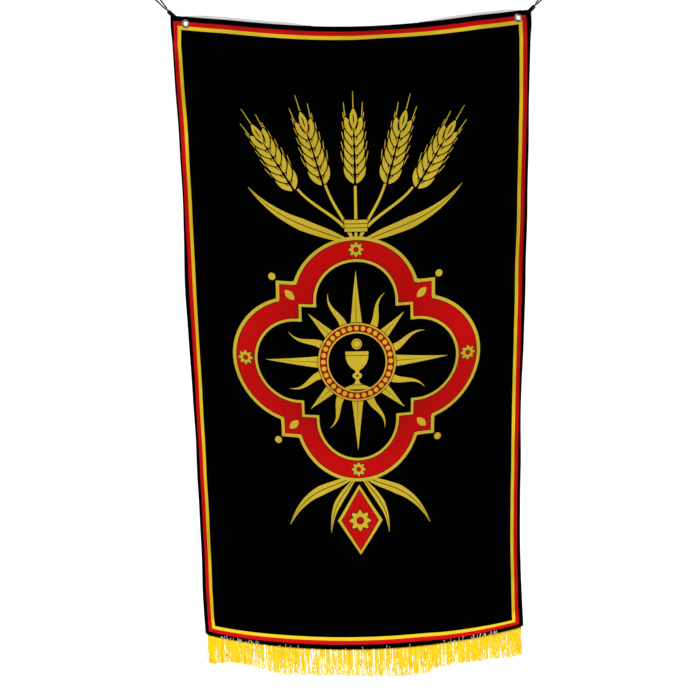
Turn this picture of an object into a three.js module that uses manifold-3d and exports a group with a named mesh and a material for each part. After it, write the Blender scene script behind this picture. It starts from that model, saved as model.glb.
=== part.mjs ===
// A hanging church banner: a bordered cloth with a fringed hem, an eyelet in each top corner,
// and a ribbon tab at each corner that holds a loop of cord.
// Millimetres, +Z up. The front faces -Y, and the origin is midway between the two top corners.

import * as THREE from 'three';
import { mergeVertices } from 'three/addons/utils/BufferGeometryUtils.js';
import Module from 'manifold-3d';

const wasm = await Module();
wasm.setup();

// Driving dimensions of the cloth
const FLAT_WIDTH = 600;
const FLAT_LENGTH = 1100;
const HANG_LENGTH = 1090; // upright distance from the top edge to the bottom edge as it hangs

// How far the middle of the top and bottom edge hangs below its corners, and how round its curve is
const SAG = { top: 25, topPower: 1.45, bottom: 30.2, bottomPower: 0.9 };
const BELLY = 14; // how far the middle stands forward of the side edges
const CLOTH_THICKNESS = 1.2;
const HEM_THICKNESS = 2;
const HEM_WIDTH = 12;
const HEM_STEP = 0.8; // width over which the thicker hem runs out into the cloth
const HEADING_DEPTH = 24;
const GAP = 0.3; // clearance between pieces that touch

// Sides that roll back: a strip along each edge turns away from the front
const ROLL_WIDTH = 8;
const ROLL_ANGLE = { left: 52, right: 38 }; // degrees
const ROLL_STARTS = 14; // down from the top edge
const ROLL_FULL = 50;
const ROLL_EASES = 1000; // down to where the fringed hem begins to hold the sides flatter
const ROLL_LEFT_AT_HEM = 0.35; // share of the roll that is left at the bottom edge

// Eyelets
const EYELET = {
  left: -275.5,
  right: 278.4,
  down: 10.5,
  bore: 3.4, // radius
  barrel: 4.1, // radius
  flange: 6.4, // radius
};
const CORNER_PATCH = 12; // flat cloth around an eyelet, and from there out to the corner
const PATCH_FADE = 60;

// Ribbon tabs: how far the tip stands out of the corner, and how far the ribbon lies off its line
const TAB = { width: 7.2, thickness: 1.5, root: 13, rise: 43, holeBack: 3.2, holeRadius: 1.6 };
const TAB_SEAT = {
  left: { out: 9.4, shift: 3.4, lean: 6 },
  right: { out: 9.8, shift: 0.5, lean: 4 },
};

// Tie cord and its knot
const CORD_RADIUS = 1.2;
const CORD_SIDES = 8;
const KNOT_LENGTH = 2.8;
const KNOT_RADIUS = 1.7;
const KNOT_FLATNESS = 1.1; // depth over width
const KNOT_START = 4.6; // from the hole's centre to the knot

// Fringe
const HEADER = { above: 5, below: 3, thickness: 1.4, gap: 0.55 }; // strip along the bottom edge
const STRAND_COUNT = 140;
const STRAND_SWAY = 0.45;
const STRAND_SEED = 17;

// Sections of a strand from its root to its tip: how far along, and its size across and in depth
const STRAND_SECTIONS = [
  { along: 0, width: 1.9, depth: 1 },
  { along: 0.55, width: 2.6, depth: 2.2 },
  { along: 1, width: 2.2, depth: 1.9 },
];

// Grids of the cloth
const COLUMN_PITCH = 25;
const ROW_PITCH = 34;

const COLOURS = { black: 0x0b0b0d, gold: 0xf6c610, nickel: 0xc9c7c1 };

// Side edges of the hanging cloth, from the top corners down
const SIDE_EDGES = [
  { down: 0, left: -298.3, right: 298.3 },
  { down: 30, left: -299, right: 299.9 },
  { down: 70, left: -298.1, right: 298.6 },
  { down: 120, left: -297.8, right: 298.3 },
  { down: 200, left: -294.5, right: 297.1 },
  { down: 290, left: -294.2, right: 297.5 },
  { down: 350, left: -295.6, right: 297.8 },
  { down: 430, left: -297, right: 295.1 },
  { down: 500, left: -296.3, right: 294.5 },
  { down: 570, left: -295.9, right: 294.1 },
  { down: 640, left: -293.8, right: 291.3 },
  { down: 715, left: -291.9, right: 288.9 },
  { down: 790, left: -293.4, right: 290.8 },
  { down: 860, left: -292.2, right: 291.2 },
  { down: 935, left: -291.8, right: 291.1 },
  { down: 1020, left: -294.1, right: 295.3 },
  { down: 1110, left: -291.6, right: 299.8 },
];

// Soft folds that swing from edge to edge. Each crest passes three places, measured down from the
// top edge, and stands forward by three amounts, at the left edge, the middle and the right edge.
const FOLDS = [
  { left: 45, middle: 150, right: 60, leftRise: 5, middleRise: 3, rightRise: 4, reach: 48 },
  { left: 225, middle: 330, right: 215, leftRise: 8, middleRise: 7, rightRise: 7, reach: 60 },
  { left: 470, middle: 610, right: 465, leftRise: 9, middleRise: 10, rightRise: 7, reach: 64 },
  { left: 690, middle: 850, right: 735, leftRise: 7, middleRise: 6, rightRise: 9, reach: 66 },
  { left: 905, middle: 1020, right: 935, leftRise: 6, middleRise: 3, rightRise: 5, reach: 60 },
];

// Length of the fringe below the cloth's edge, from the left corner (-1) to the right corner (1)
const FRINGE_LENGTHS = [
  { place: -1, length: 59 },
  { place: -0.82, length: 45 },
  { place: -0.7, length: 46 },
  { place: -0.55, length: 55 },
  { place: -0.3, length: 53 },
  { place: 0, length: 54 },
  { place: 0.35, length: 57 },
  { place: 0.48, length: 47 },
  { place: 0.64, length: 46 },
  { place: 0.82, length: 51 },
  { place: 1, length: 59 },
];

// Route of the tie cord from the knot, round its bight and back: out along the tie, and to the
// side that faces the banner's middle
const TIE_ROUTE = [
  { side: -1.35, out: 0 },
  { side: -1.4, out: 1.8 },
  { side: -1.5, out: 4 },
  { side: -1.85, out: 8 },
  { side: -2.15, out: 12 },
  { side: -2.45, out: 16 },
  { side: -2.8, out: 19.4 },
  { side: -3.35, out: 22.4 },
  { side: -4.15, out: 25.2 },
  { side: -4.95, out: 27.9 },
  { side: -5.35, out: 30.4 },
  { side: -4.94, out: 32.45 },
  { side: -3.78, out: 34.18 },
  { side: -2.05, out: 35.34 },
  { side: 0, out: 35.75 },
  { side: 2.05, out: 35.34 },
  { side: 3.78, out: 34.18 },
  { side: 4.94, out: 32.45 },
  { side: 5.35, out: 30.4 },
  { side: 4.95, out: 27.9 },
  { side: 4.1, out: 25.2 },
  { side: 3.3, out: 22.4 },
  { side: 2.8, out: 19.4 },
  { side: 2.5, out: 16 },
  { side: 2.3, out: 12 },
  { side: 2, out: 8 },
  { side: 1.6, out: 4 },
  { side: 1.4, out: 1.8 },
  { side: 1.35, out: 0 },
];
const TIE_STEPS = 42;

const MATERIALS = {
  cloth: new THREE.MeshStandardMaterial({ color: COLOURS.black, roughness: 0.55, metalness: 0 }),
  ribbon: new THREE.MeshStandardMaterial({ color: COLOURS.black, roughness: 0.8, metalness: 0 }),
  nickel: new THREE.MeshStandardMaterial({ color: COLOURS.nickel, roughness: 0.25, metalness: 1 }),
  yarn: new THREE.MeshStandardMaterial({ color: COLOURS.gold, roughness: 0.6, metalness: 0 }),
};

// Helpers for numbers

function smoothAt(rows, key, column, value) {
  const last = rows.length - 1;
  const inside = THREE.MathUtils.clamp(value, rows[0][key], rows[last][key]);
  let i = 0;
  while (i < last - 1 && rows[i + 1][key] < inside) i += 1;
  const slope = (n) => {
    const before = rows[Math.max(n - 1, 0)];
    const after = rows[Math.min(n + 1, last)];
    return (after[column] - before[column]) / (after[key] - before[key]);
  };
  const span = rows[i + 1][key] - rows[i][key];
  const t = (inside - rows[i][key]) / span;
  const start = rows[i][column] * (1 + 2 * t) * (1 - t) ** 2 + slope(i) * span * t * (1 - t) ** 2;
  const end = rows[i + 1][column] * t * t * (3 - 2 * t) + slope(i + 1) * span * t * t * (t - 1);
  return start + end;
}

function acrossThree(left, middle, right, u) {
  return middle + ((right - left) / 2) * u + ((left + right) / 2 - middle) * u * u;
}

function seededRandom(seed) {
  let state = seed;
  return () => {
    state = (state * 16807) % 2147483647;
    return state / 2147483647;
  };
}

function steps(from, to, pitch) {
  const count = Math.max(1, Math.round((to - from) / pitch));
  return Array.from({ length: count + 1 }, (_, i) => from + ((to - from) * i) / count);
}

function sortedUnique(values) {
  return [...new Set(values.map((v) => Number(v.toFixed(3))))].sort((a, b) => a - b);
}

// The hanging surface: where a point of the flat cloth comes to lie on its front face

function foldHeight(u, down) {
  return FOLDS.reduce((sum, fold) => {
    const crest = acrossThree(fold.left, fold.middle, fold.right, u);
    const rise = acrossThree(fold.leftRise, fold.middleRise, fold.rightRise, u);
    return sum + rise * Math.exp(-(((down - crest) / fold.reach) ** 2));
  }, 0);
}

function cornerFlatness(across, down) {
  const patchStart = (across < 0 ? -EYELET.left : EYELET.right) - CORNER_PATCH;
  const inward = Math.max(0, patchStart - Math.abs(across));
  const below = Math.max(0, down - HEADING_DEPTH);
  return 1 - THREE.MathUtils.smoothstep(Math.hypot(inward, below), 0, PATCH_FADE);
}

function frontPoint(across, down) {
  const half = FLAT_WIDTH / 2;
  const u = across / half;
  const side = across < 0 ? 'left' : 'right';
  const sign = across < 0 ? -1 : 1;
  const ease = (1 - ROLL_LEFT_AT_HEM) * THREE.MathUtils.smoothstep(down, ROLL_EASES, FLAT_LENGTH);
  const fade = THREE.MathUtils.smoothstep(down, ROLL_STARTS, ROLL_FULL) * (1 - ease);
  const angle = { left: 0, right: 0 };
  for (const name of ['left', 'right']) {
    angle[name] = THREE.MathUtils.degToRad(ROLL_ANGLE[name]) * fade;
  }
  const bendLeft = smoothAt(SIDE_EDGES, 'down', 'left', down) + ROLL_WIDTH * Math.cos(angle.left);
  const bendRight = smoothAt(SIDE_EDGES, 'down', 'right', down) - ROLL_WIDTH * Math.cos(angle.right);
  const flatBend = half - ROLL_WIDTH;
  const inner = THREE.MathUtils.clamp(across, -flatBend, flatBend);
  const beyond = Math.abs(across) - Math.abs(inner);
  const turn = angle[side] * THREE.MathUtils.smoothstep(beyond, 0, ROLL_WIDTH / 2);
  const share = (inner + flatBend) / (2 * flatBend);
  const x = bendLeft + (bendRight - bendLeft) * share + sign * beyond * Math.cos(turn);
  const roundness = Math.max(0, 1 - u * u);
  const topSag = SAG.top * roundness ** SAG.topPower;
  const bottomSag = SAG.bottom * roundness ** SAG.bottomPower;
  const sag = THREE.MathUtils.lerp(topSag, bottomSag, down / FLAT_LENGTH);
  const z = -sag - down * (HANG_LENGTH / FLAT_LENGTH);
  const stands = BELLY * (1 - u * u) + foldHeight(u, down);
  const y = -stands * (1 - cornerFlatness(across, down)) + beyond * Math.sin(turn);
  return new THREE.Vector3(x, y, z);
}

function frontNormal(across, down) {
  const step = 0.5;
  const limit = FLAT_WIDTH / 2;
  const right = frontPoint(Math.min(across + step, limit), down);
  const left = frontPoint(Math.max(across - step, -limit), down);
  const low = frontPoint(across, down + step);
  const high = frontPoint(across, Math.max(down - step, 0));
  return low.sub(high).cross(right.sub(left)).normalize();
}

// Closed solid between two depths behind the front face
function sheetGeometry(acrossList, downList, layer) {
  const columns = acrossList.length;
  const rows = downList.length;
  const positions = [];
  for (const face of ['front', 'back']) {
    for (const down of downList) {
      for (const across of acrossList) {
        const depth = layer(across, down)[face];
        const point = frontPoint(across, down).addScaledVector(frontNormal(across, down), -depth);
        positions.push(point.x, point.y, point.z);
      }
    }
  }
  const front = (i, j) => j * columns + i;
  const back = (i, j) => columns * rows + j * columns + i;
  const indices = [];
  for (let j = 0; j < rows - 1; j += 1) {
    for (let i = 0; i < columns - 1; i += 1) {
      indices.push(front(i, j), front(i, j + 1), front(i + 1, j));
      indices.push(front(i + 1, j), front(i, j + 1), front(i + 1, j + 1));
      indices.push(back(i, j), back(i + 1, j), back(i, j + 1));
      indices.push(back(i + 1, j), back(i + 1, j + 1), back(i, j + 1));
    }
  }
  const low = rows - 1;
  for (let i = 0; i < columns - 1; i += 1) {
    indices.push(front(i, 0), front(i + 1, 0), back(i + 1, 0));
    indices.push(front(i, 0), back(i + 1, 0), back(i, 0));
    indices.push(front(i, low), back(i + 1, low), front(i + 1, low));
    indices.push(front(i, low), back(i, low), back(i + 1, low));
  }
  const last = columns - 1;
  for (let j = 0; j < low; j += 1) {
    indices.push(front(0, j), back(0, j), front(0, j + 1));
    indices.push(back(0, j), back(0, j + 1), front(0, j + 1));
    indices.push(front(last, j), front(last, j + 1), back(last, j));
    indices.push(back(last, j), front(last, j + 1), back(last, j + 1));
  }
  const geometry = new THREE.BufferGeometry();
  geometry.setAttribute('position', new THREE.Float32BufferAttribute(positions, 3));
  geometry.setIndex(indices);
  return geometry;
}

// Booleans

function toSolid(geometry) {
  const bare = geometry.clone();
  bare.deleteAttribute('normal');
  bare.deleteAttribute('uv');
  const merged = mergeVertices(bare, 1e-4);
  return new wasm.Manifold(
    new wasm.Mesh({
      numProp: 3,
      vertProperties: new Float32Array(merged.attributes.position.array),
      triVerts: new Uint32Array(merged.index.array),
    }),
  );
}

function fromSolid(solid) {
  const mesh = solid.getMesh();
  const geometry = new THREE.BufferGeometry();
  geometry.setAttribute('position', new THREE.BufferAttribute(mesh.vertProperties, 3));
  geometry.setIndex(new THREE.BufferAttribute(mesh.triVerts, 1));
  geometry.computeVertexNormals();
  return geometry;
}

function piece(name, geometry, material) {
  if (!geometry.attributes.normal) geometry.computeVertexNormals();
  const mesh = new THREE.Mesh(geometry, material.clone());
  mesh.name = name;
  return mesh;
}

function regularShape(radius, sides) {
  const corners = Array.from({ length: sides }, (_, i) => {
    const angle = (2 * Math.PI * i) / sides;
    return new THREE.Vector2(radius * Math.cos(angle), radius * Math.sin(angle));
  });
  return new THREE.Shape(corners);
}

// Cloth

function clothColumns(extra) {
  const half = FLAT_WIDTH / 2;
  const hem = half - HEM_WIDTH;
  const field = steps(-hem + HEM_STEP, hem - HEM_STEP, COLUMN_PITCH);
  const side = [hem, half - ROLL_WIDTH, half - ROLL_WIDTH / 2, half - ROLL_WIDTH / 4, half];
  return sortedUnique([...field, ...side, ...side.map((value) => -value), ...extra]);
}

function bannerPanel() {
  const hemTop = FLAT_LENGTH - HEM_WIDTH;
  const field = steps(HEADING_DEPTH + GAP, hemTop - HEM_STEP, ROW_PITCH);
  const downList = sortedUnique([...field, hemTop, FLAT_LENGTH]);
  const hemSide = FLAT_WIDTH / 2 - HEM_WIDTH;
  const layer = (across, down) => {
    const inHem = Math.abs(across) > hemSide - HEM_STEP / 2 || down > hemTop - HEM_STEP / 2;
    return { front: 0, back: inHem ? HEM_THICKNESS : CLOTH_THICKNESS };
  };
  return piece('banner_panel', sheetGeometry(clothColumns([]), downList, layer), MATERIALS.cloth);
}

function eyeletCentre(side) {
  return frontPoint(EYELET[side], EYELET.down);
}

function heading() {
  const patchEdges = [
    EYELET.left + CORNER_PATCH,
    EYELET.left - CORNER_PATCH,
    EYELET.right - CORNER_PATCH,
    EYELET.right + CORNER_PATCH,
  ];
  const downList = [0, ROLL_STARTS, HEADING_DEPTH];
  const layer = () => ({ front: 0, back: HEM_THICKNESS });
  let strip = toSolid(sheetGeometry(clothColumns(patchEdges), downList, layer));
  for (const side of ['left', 'right']) {
    const cutter = new THREE.CylinderGeometry(
      EYELET.barrel + GAP,
      EYELET.barrel + GAP,
      HEM_THICKNESS * 4,
      24,
    );
    const centre = eyeletCentre(side);
    cutter.translate(centre.x, centre.y, centre.z);
    strip = strip.subtract(toSolid(cutter));
  }
  return piece('heading', fromSolid(strip), MATERIALS.cloth);
}

// Eyelets: a rolled front flange, a barrel through the heading and a washer behind it

function eyelet(side) {
  const back = -HEM_THICKNESS - GAP;
  const crest = { inner: 4.2, outer: 5.2, height: 1.4 };
  const edgeHeight = 0.8;
  const washer = 0.8;
  const profile = [
    [EYELET.bore, back - washer],
    [EYELET.flange - 0.5, back - washer],
    [EYELET.flange, back - washer / 2],
    [EYELET.flange, back],
    [EYELET.barrel, back],
    [EYELET.barrel, GAP],
    [EYELET.flange, GAP],
    [EYELET.flange, edgeHeight],
    [crest.outer, crest.height],
    [crest.inner, crest.height],
    [EYELET.bore + 0.15, edgeHeight],
    [EYELET.bore, GAP],
    [EYELET.bore, back - washer],
  ];
  const points = profile.map(([radius, height]) => new THREE.Vector2(radius, height));
  const ring = piece(`eyelet_${side}`, new THREE.LatheGeometry(points, 24), MATERIALS.nickel);
  ring.rotation.z = Math.PI;
  ring.position.copy(eyeletCentre(side));
  return ring;
}

// Corner ribbon tabs, in their own frame: X across the ribbon, Z out to its tip, Y backwards

const TIE_DEPTH = HEM_THICKNESS + GAP + TAB.thickness / 2;

function cornerTab(side) {
  const half = TAB.width / 2;
  const length = TAB.root + TAB_SEAT[side].out;
  const round = 2;
  const outline = new THREE.Shape();
  outline.moveTo(-half, -length);
  outline.lineTo(half, -length);
  outline.lineTo(half - 0.3, -round);
  outline.quadraticCurveTo(half - 0.4, 0, half - round, 0);
  outline.lineTo(round - half, 0);
  outline.quadraticCurveTo(0.4 - half, 0, 0.3 - half, -round);
  const hole = new THREE.Path();
  hole.absarc(0, -TAB.holeBack, TAB.holeRadius, 0, 2 * Math.PI, true);
  outline.holes.push(hole);
  const geometry = new THREE.ExtrudeGeometry(outline, {
    depth: TAB.thickness,
    bevelEnabled: false,
    curveSegments: 6,
  });
  geometry.rotateX(Math.PI / 2);
  geometry.translate(0, TAB.thickness / 2, 0);
  return piece(`corner_tab_${side}`, geometry, MATERIALS.ribbon);
}

class UprightPath extends THREE.Curve {
  constructor(path) {
    super();
    this.path = path;
  }

  getPoint(t, target = new THREE.Vector3()) {
    const point = this.path.getPoint(t);
    return target.set(0, point.x, point.y);
  }
}

// Knot: a turn of cord through the tab's hole and round its tip, and two turns that bind it
function tieKnot(side) {
  const web = TAB.holeRadius; // the hole's wall, towards the tip, from the hole's centre
  const bend = CORD_RADIUS + GAP + 0.05;
  const legs = TAB.thickness / 2 + bend;
  const face = TAB.thickness / 2;
  const loop = new THREE.Path();
  loop.moveTo(-0.6, KNOT_START + 0.8);
  loop.quadraticCurveTo(-legs, KNOT_START - 0.4, -legs, TAB.holeBack);
  loop.lineTo(-legs, web);
  loop.absarc(-face, web, bend, Math.PI, 1.5 * Math.PI, false);
  loop.lineTo(face, web - bend);
  loop.absarc(face, web, bend, 1.5 * Math.PI, 2 * Math.PI, false);
  loop.lineTo(legs, TAB.holeBack);
  loop.quadraticCurveTo(legs, KNOT_START - 0.4, 0.6, KNOT_START + 0.8);
  const turn = new THREE.ExtrudeGeometry(regularShape(CORD_RADIUS, CORD_SIDES), {
    steps: 24,
    extrudePath: new UprightPath(loop),
  });
  const profile = [
    [0, 0],
    [0.62, 0],
    [0.95, 0.14],
    [1, 0.28],
    [0.84, 0.48],
    [0.98, 0.66],
    [0.95, 0.86],
    [0.66, 1],
    [0, 1],
  ];
  const points = profile.map(([r, h]) => new THREE.Vector2(r * KNOT_RADIUS, h * KNOT_LENGTH));
  const lump = new THREE.LatheGeometry(points, 12);
  lump.rotateX(Math.PI / 2);
  lump.scale(1, KNOT_FLATNESS, 1);
  lump.translate(0, 0, KNOT_START);
  const solid = toSolid(turn).add(toSolid(lump));
  return piece(`tie_knot_${side}`, fromSolid(solid), MATERIALS.ribbon);
}

// Tie cord: a loop whose two ends leave the knot side by side
function tieCord(side) {
  const inward = side === 'left' ? 1 : -1;
  const base = KNOT_START + KNOT_LENGTH + GAP;
  const points = TIE_ROUTE.map((row) => new THREE.Vector3(inward * row.side, 0, base + row.out));
  const geometry = new THREE.ExtrudeGeometry(regularShape(CORD_RADIUS, CORD_SIDES), {
    steps: TIE_STEPS,
    extrudePath: new THREE.CatmullRomCurve3(points, false, 'centripetal'),
  });
  return piece(`tie_cord_${side}`, geometry, MATERIALS.ribbon);
}

function cornerTie(side) {
  const outward = side === 'left' ? -1 : 1;
  const seat = TAB_SEAT[side];
  const tabTurn = THREE.MathUtils.degToRad(90 - TAB.rise);
  const corner = frontPoint((outward * FLAT_WIDTH) / 2, 0);
  const tab = new THREE.Group();
  tab.position.set(corner.x, TIE_DEPTH, corner.z);
  tab.rotation.y = outward * tabTurn;
  const ribbon = cornerTab(side);
  ribbon.position.set(-outward * seat.shift, 0, seat.out);
  const tie = new THREE.Group();
  tie.position.set(-outward * seat.shift, 0, seat.out - TAB.holeBack);
  tie.rotation.y = -outward * THREE.MathUtils.degToRad(seat.lean);
  tie.add(tieKnot(side), tieCord(side));
  tab.add(ribbon, tie);
  return tab;
}

// Fringe: a narrow header strip behind the bottom hem, and strands that hang from it

function strandGeometry(root, tip, bow) {
  const corners = [[1, 1], [-1, 1], [-1, -1], [1, -1]];
  const positions = STRAND_SECTIONS.flatMap(({ along, width, depth }) => {
    const centre = root.clone().lerp(tip, along).addScaledVector(bow, 4 * along * (1 - along));
    return corners.flatMap(([x, y]) => [
      centre.x + (x * width) / 2,
      centre.y + (y * depth) / 2,
      centre.z,
    ]);
  });
  const sides = corners.length;
  const end = STRAND_SECTIONS.length - 1;
  const at = (section, n) => section * sides + (n % sides);
  const indices = [at(0, 0), at(0, 1), at(0, 2), at(0, 0), at(0, 2), at(0, 3)];
  indices.push(at(end, 0), at(end, 2), at(end, 1), at(end, 0), at(end, 3), at(end, 2));
  for (let s = 0; s < end; s += 1) {
    for (let n = 0; n < sides; n += 1) {
      indices.push(at(s, n), at(s + 1, n), at(s, n + 1));
      indices.push(at(s, n + 1), at(s + 1, n), at(s + 1, n + 1));
    }
  }
  const geometry = new THREE.BufferGeometry();
  geometry.setAttribute('position', new THREE.Float32BufferAttribute(positions, 3));
  geometry.setIndex(indices);
  return geometry;
}

function fringe() {
  const nearFace = HEM_THICKNESS + HEADER.gap;
  const layer = () => ({ front: nearFace, back: nearFace + HEADER.thickness });
  const headerRows = [FLAT_LENGTH - HEADER.above, FLAT_LENGTH + HEADER.below];
  const header = toSolid(sheetGeometry(clothColumns([]), headerRows, layer));
  const random = seededRandom(STRAND_SEED);
  const jitter = (size) => (random() * 2 - 1) * size;
  const half = FLAT_WIDTH / 2;
  const inset = STRAND_SECTIONS[1].width * 0.6;
  const strands = Array.from({ length: STRAND_COUNT }, (_, i) => {
    const across = -half + inset + ((FLAT_WIDTH - 2 * inset) * i) / (STRAND_COUNT - 1);
    const rootDown = FLAT_LENGTH + HEADER.below * 0.6;
    const depth = nearFace + HEADER.thickness / 2;
    const normal = frontNormal(across, rootDown);
    const root = frontPoint(across, rootDown).addScaledVector(normal, -depth);
    const length = smoothAt(FRINGE_LENGTHS, 'place', 'length', across / half) + jitter(2);
    const edge = frontPoint(across, FLAT_LENGTH);
    const tip = new THREE.Vector3(
      root.x + jitter(STRAND_SWAY),
      root.y + jitter(STRAND_SWAY),
      edge.z - length,
    );
    const bow = new THREE.Vector3(jitter(STRAND_SWAY), jitter(STRAND_SWAY), 0);
    return toSolid(strandGeometry(root, tip, bow));
  });
  const solid = wasm.Manifold.union([header, ...strands]);
  return piece('fringe', fromSolid(solid), MATERIALS.yarn);
}

const banner = new THREE.Group();
banner.add(heading(), bannerPanel(), fringe());
for (const side of ['left', 'right']) {
  banner.add(eyelet(side), cornerTie(side));
}

export default banner;
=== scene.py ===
"""A fringed church banner in black satin, hung from a ribbon tab and a cord loop at each top corner.

Metres, +Z up. The front faces -Y, and the origin is midway between the two top corners.
"""

import math
import random

import bmesh
import bpy
import numpy as np
from bpy.props import FloatProperty, FloatVectorProperty, IntProperty, PointerProperty
from mathutils import Matrix, Vector
from mathutils.geometry import delaunay_2d_cdt
from mathutils.kdtree import KDTree


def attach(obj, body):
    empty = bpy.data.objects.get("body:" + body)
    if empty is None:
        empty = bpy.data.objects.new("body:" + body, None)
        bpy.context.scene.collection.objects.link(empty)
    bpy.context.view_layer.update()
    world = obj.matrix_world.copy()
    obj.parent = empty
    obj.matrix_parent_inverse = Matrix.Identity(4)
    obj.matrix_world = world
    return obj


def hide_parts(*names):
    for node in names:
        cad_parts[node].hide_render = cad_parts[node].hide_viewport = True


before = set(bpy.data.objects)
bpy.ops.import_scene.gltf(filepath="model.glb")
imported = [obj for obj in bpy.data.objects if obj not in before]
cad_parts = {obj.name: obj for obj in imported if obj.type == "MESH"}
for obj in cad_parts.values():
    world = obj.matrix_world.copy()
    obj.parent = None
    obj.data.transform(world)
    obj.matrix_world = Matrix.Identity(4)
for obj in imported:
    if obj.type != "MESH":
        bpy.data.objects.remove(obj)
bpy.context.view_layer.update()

bl_info = {
    "name": "Hanging Church Banner",
    "version": (1, 0, 0),
    "blender": (4, 5, 0),
    "location": "3D View > Sidebar > Banner",
    "description": "Makes a fringed church banner that hangs from its two corner ties",
    "category": "Add Mesh",
}

BODY = "root"

# The cloth as cut, and how it hangs
FLAT_WIDTH = 0.6
FLAT_LENGTH = 1.1
HANG_LENGTH = 1.09
TOP_SAG = 0.025
TOP_SAG_POWER = 1.45
BOTTOM_SAG = 0.0302
BOTTOM_SAG_POWER = 0.9
BELLY = 0.014
HEADING_DEPTH = 0.024

# Sides that roll back
ROLL_WIDTH = 0.008
ROLL_ANGLE = {"left": 52.0, "right": 38.0}
ROLL_STARTS = 0.014
ROLL_FULL = 0.05
ROLL_EASES = 1.0
ROLL_LEFT_AT_HEM = 0.35

# Eyelets
EYELET_ACROSS = {"left": -0.2755, "right": 0.2784}
EYELET_DOWN = 0.0105
EYELET_BORE = 0.0034
EYELET_BARREL = 0.0041
EYELET_FLANGE = 0.0064
CORNER_PATCH = 0.012
PATCH_FADE = 0.06

# Ribbon tabs and ties
SOLID_HEM = 0.002
GAP = 0.0003
TAB_WIDTH = 0.0072
TAB_THICKNESS = 0.0015
TAB_ROOT = 0.013
TAB_RISE = 43.0
TAB_HOLE_BACK = 0.0032
TAB_HOLE_RADIUS = 0.0016
TAB_HOLE_CLOSED = 0.0013  # the cloth draws in round the cord
TAB_SEAT = {
    "left": {"out": 0.0094, "shift": 0.0034, "lean": 6.0},
    "right": {"out": 0.0098, "shift": 0.0005, "lean": 4.0},
}
TIE_DEPTH = SOLID_HEM + GAP + TAB_THICKNESS / 2
KNOT_START = 0.0046
KNOT_LENGTH = 0.0028

# The tie cord's route, to the side that faces the banner's middle and out along the tie
TIE_ROUTE = [
    (-0.00135, 0.0), (-0.0014, 0.0018), (-0.0015, 0.004), (-0.00185, 0.008), (-0.00215, 0.012),
    (-0.00245, 0.016), (-0.0028, 0.0194), (-0.00335, 0.0224), (-0.00415, 0.0252),
    (-0.00495, 0.0279), (-0.00535, 0.0304), (-0.00494, 0.03245), (-0.00378, 0.03418),
    (-0.00205, 0.03534), (0.0, 0.03575), (0.00205, 0.03534), (0.00378, 0.03418),
    (0.00494, 0.03245), (0.00535, 0.0304), (0.00495, 0.0279), (0.0041, 0.0252), (0.0033, 0.0224),
    (0.0028, 0.0194), (0.0025, 0.016), (0.0023, 0.012), (0.002, 0.008), (0.0016, 0.004),
    (0.0014, 0.0018), (0.00135, 0.0),
]

# Side edges of the hanging cloth: down from the top corners, and the left and the right edge there
SIDE_EDGES = [
    (0.0, -0.2983, 0.2983), (0.03, -0.299, 0.2999), (0.07, -0.2981, 0.2986),
    (0.12, -0.2978, 0.2983), (0.2, -0.2945, 0.2971), (0.29, -0.2942, 0.2975),
    (0.35, -0.2956, 0.2978), (0.43, -0.297, 0.2951), (0.5, -0.2963, 0.2945),
    (0.57, -0.2959, 0.2941), (0.64, -0.2938, 0.2913), (0.715, -0.2919, 0.2889),
    (0.79, -0.2934, 0.2908), (0.86, -0.2922, 0.2912), (0.935, -0.2918, 0.2911),
    (1.02, -0.2941, 0.2953), (1.11, -0.2916, 0.2998),
]
SIDE_DOWN, LEFT_EDGE, RIGHT_EDGE = zip(*SIDE_EDGES)

# Soft folds that swing from edge to edge: where each crest passes the left edge, the middle and the
# right edge, how far it stands forward there, and its reach
FOLDS = [
    ((0.045, 0.15, 0.06), (0.005, 0.003, 0.004), 0.048),
    ((0.225, 0.33, 0.215), (0.008, 0.007, 0.007), 0.06),
    ((0.47, 0.61, 0.465), (0.009, 0.01, 0.007), 0.064),
    ((0.69, 0.85, 0.735), (0.007, 0.006, 0.009), 0.066),
    ((0.905, 1.02, 0.935), (0.006, 0.003, 0.005), 0.06),
]

# Length of the fringe below the cloth's edge, from the left corner (-1) to the right corner (1)
FRINGE_PLACES = [-1, -0.82, -0.7, -0.55, -0.3, 0, 0.35, 0.48, 0.64, 0.82, 1]
FRINGE_LENGTHS = [0.059, 0.045, 0.046, 0.055, 0.053, 0.054, 0.057, 0.047, 0.046, 0.051, 0.059]
HEADER_THICKNESS = 0.0014
HEADER_FRONT = SOLID_HEM + 0.00055

# Cloth as it is sewn
CLOTH_THICKNESS = 0.0006
HEM_THICKNESS = 0.0018
SEAM_INSET = 0.0105
EDGE_ROUNDING = 0.0007
MOTIF_DOWN = 0.56
CLOTH_HOLE = 0.0046  # radius of the hole that is punched for an eyelet
EYELET_PRESS = 0.0078  # radius to which the set eyelet presses the cloth
PUCKER_DEPTH = 0.00022
SEAM_DEPTH = 0.00022

# The pale fold of the top hem: its most and its least height above the print, and the height from
# which it is seen
HEM_RISE = 0.0038
HEM_FLAT = 0.0001
HEM_SHOWS = 0.0003

# The stitches of the hems
STITCH_PITCH = 0.0031
STITCH_LENGTH = 0.0023
STITCH_HALF_WIDTH = 0.00024

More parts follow.
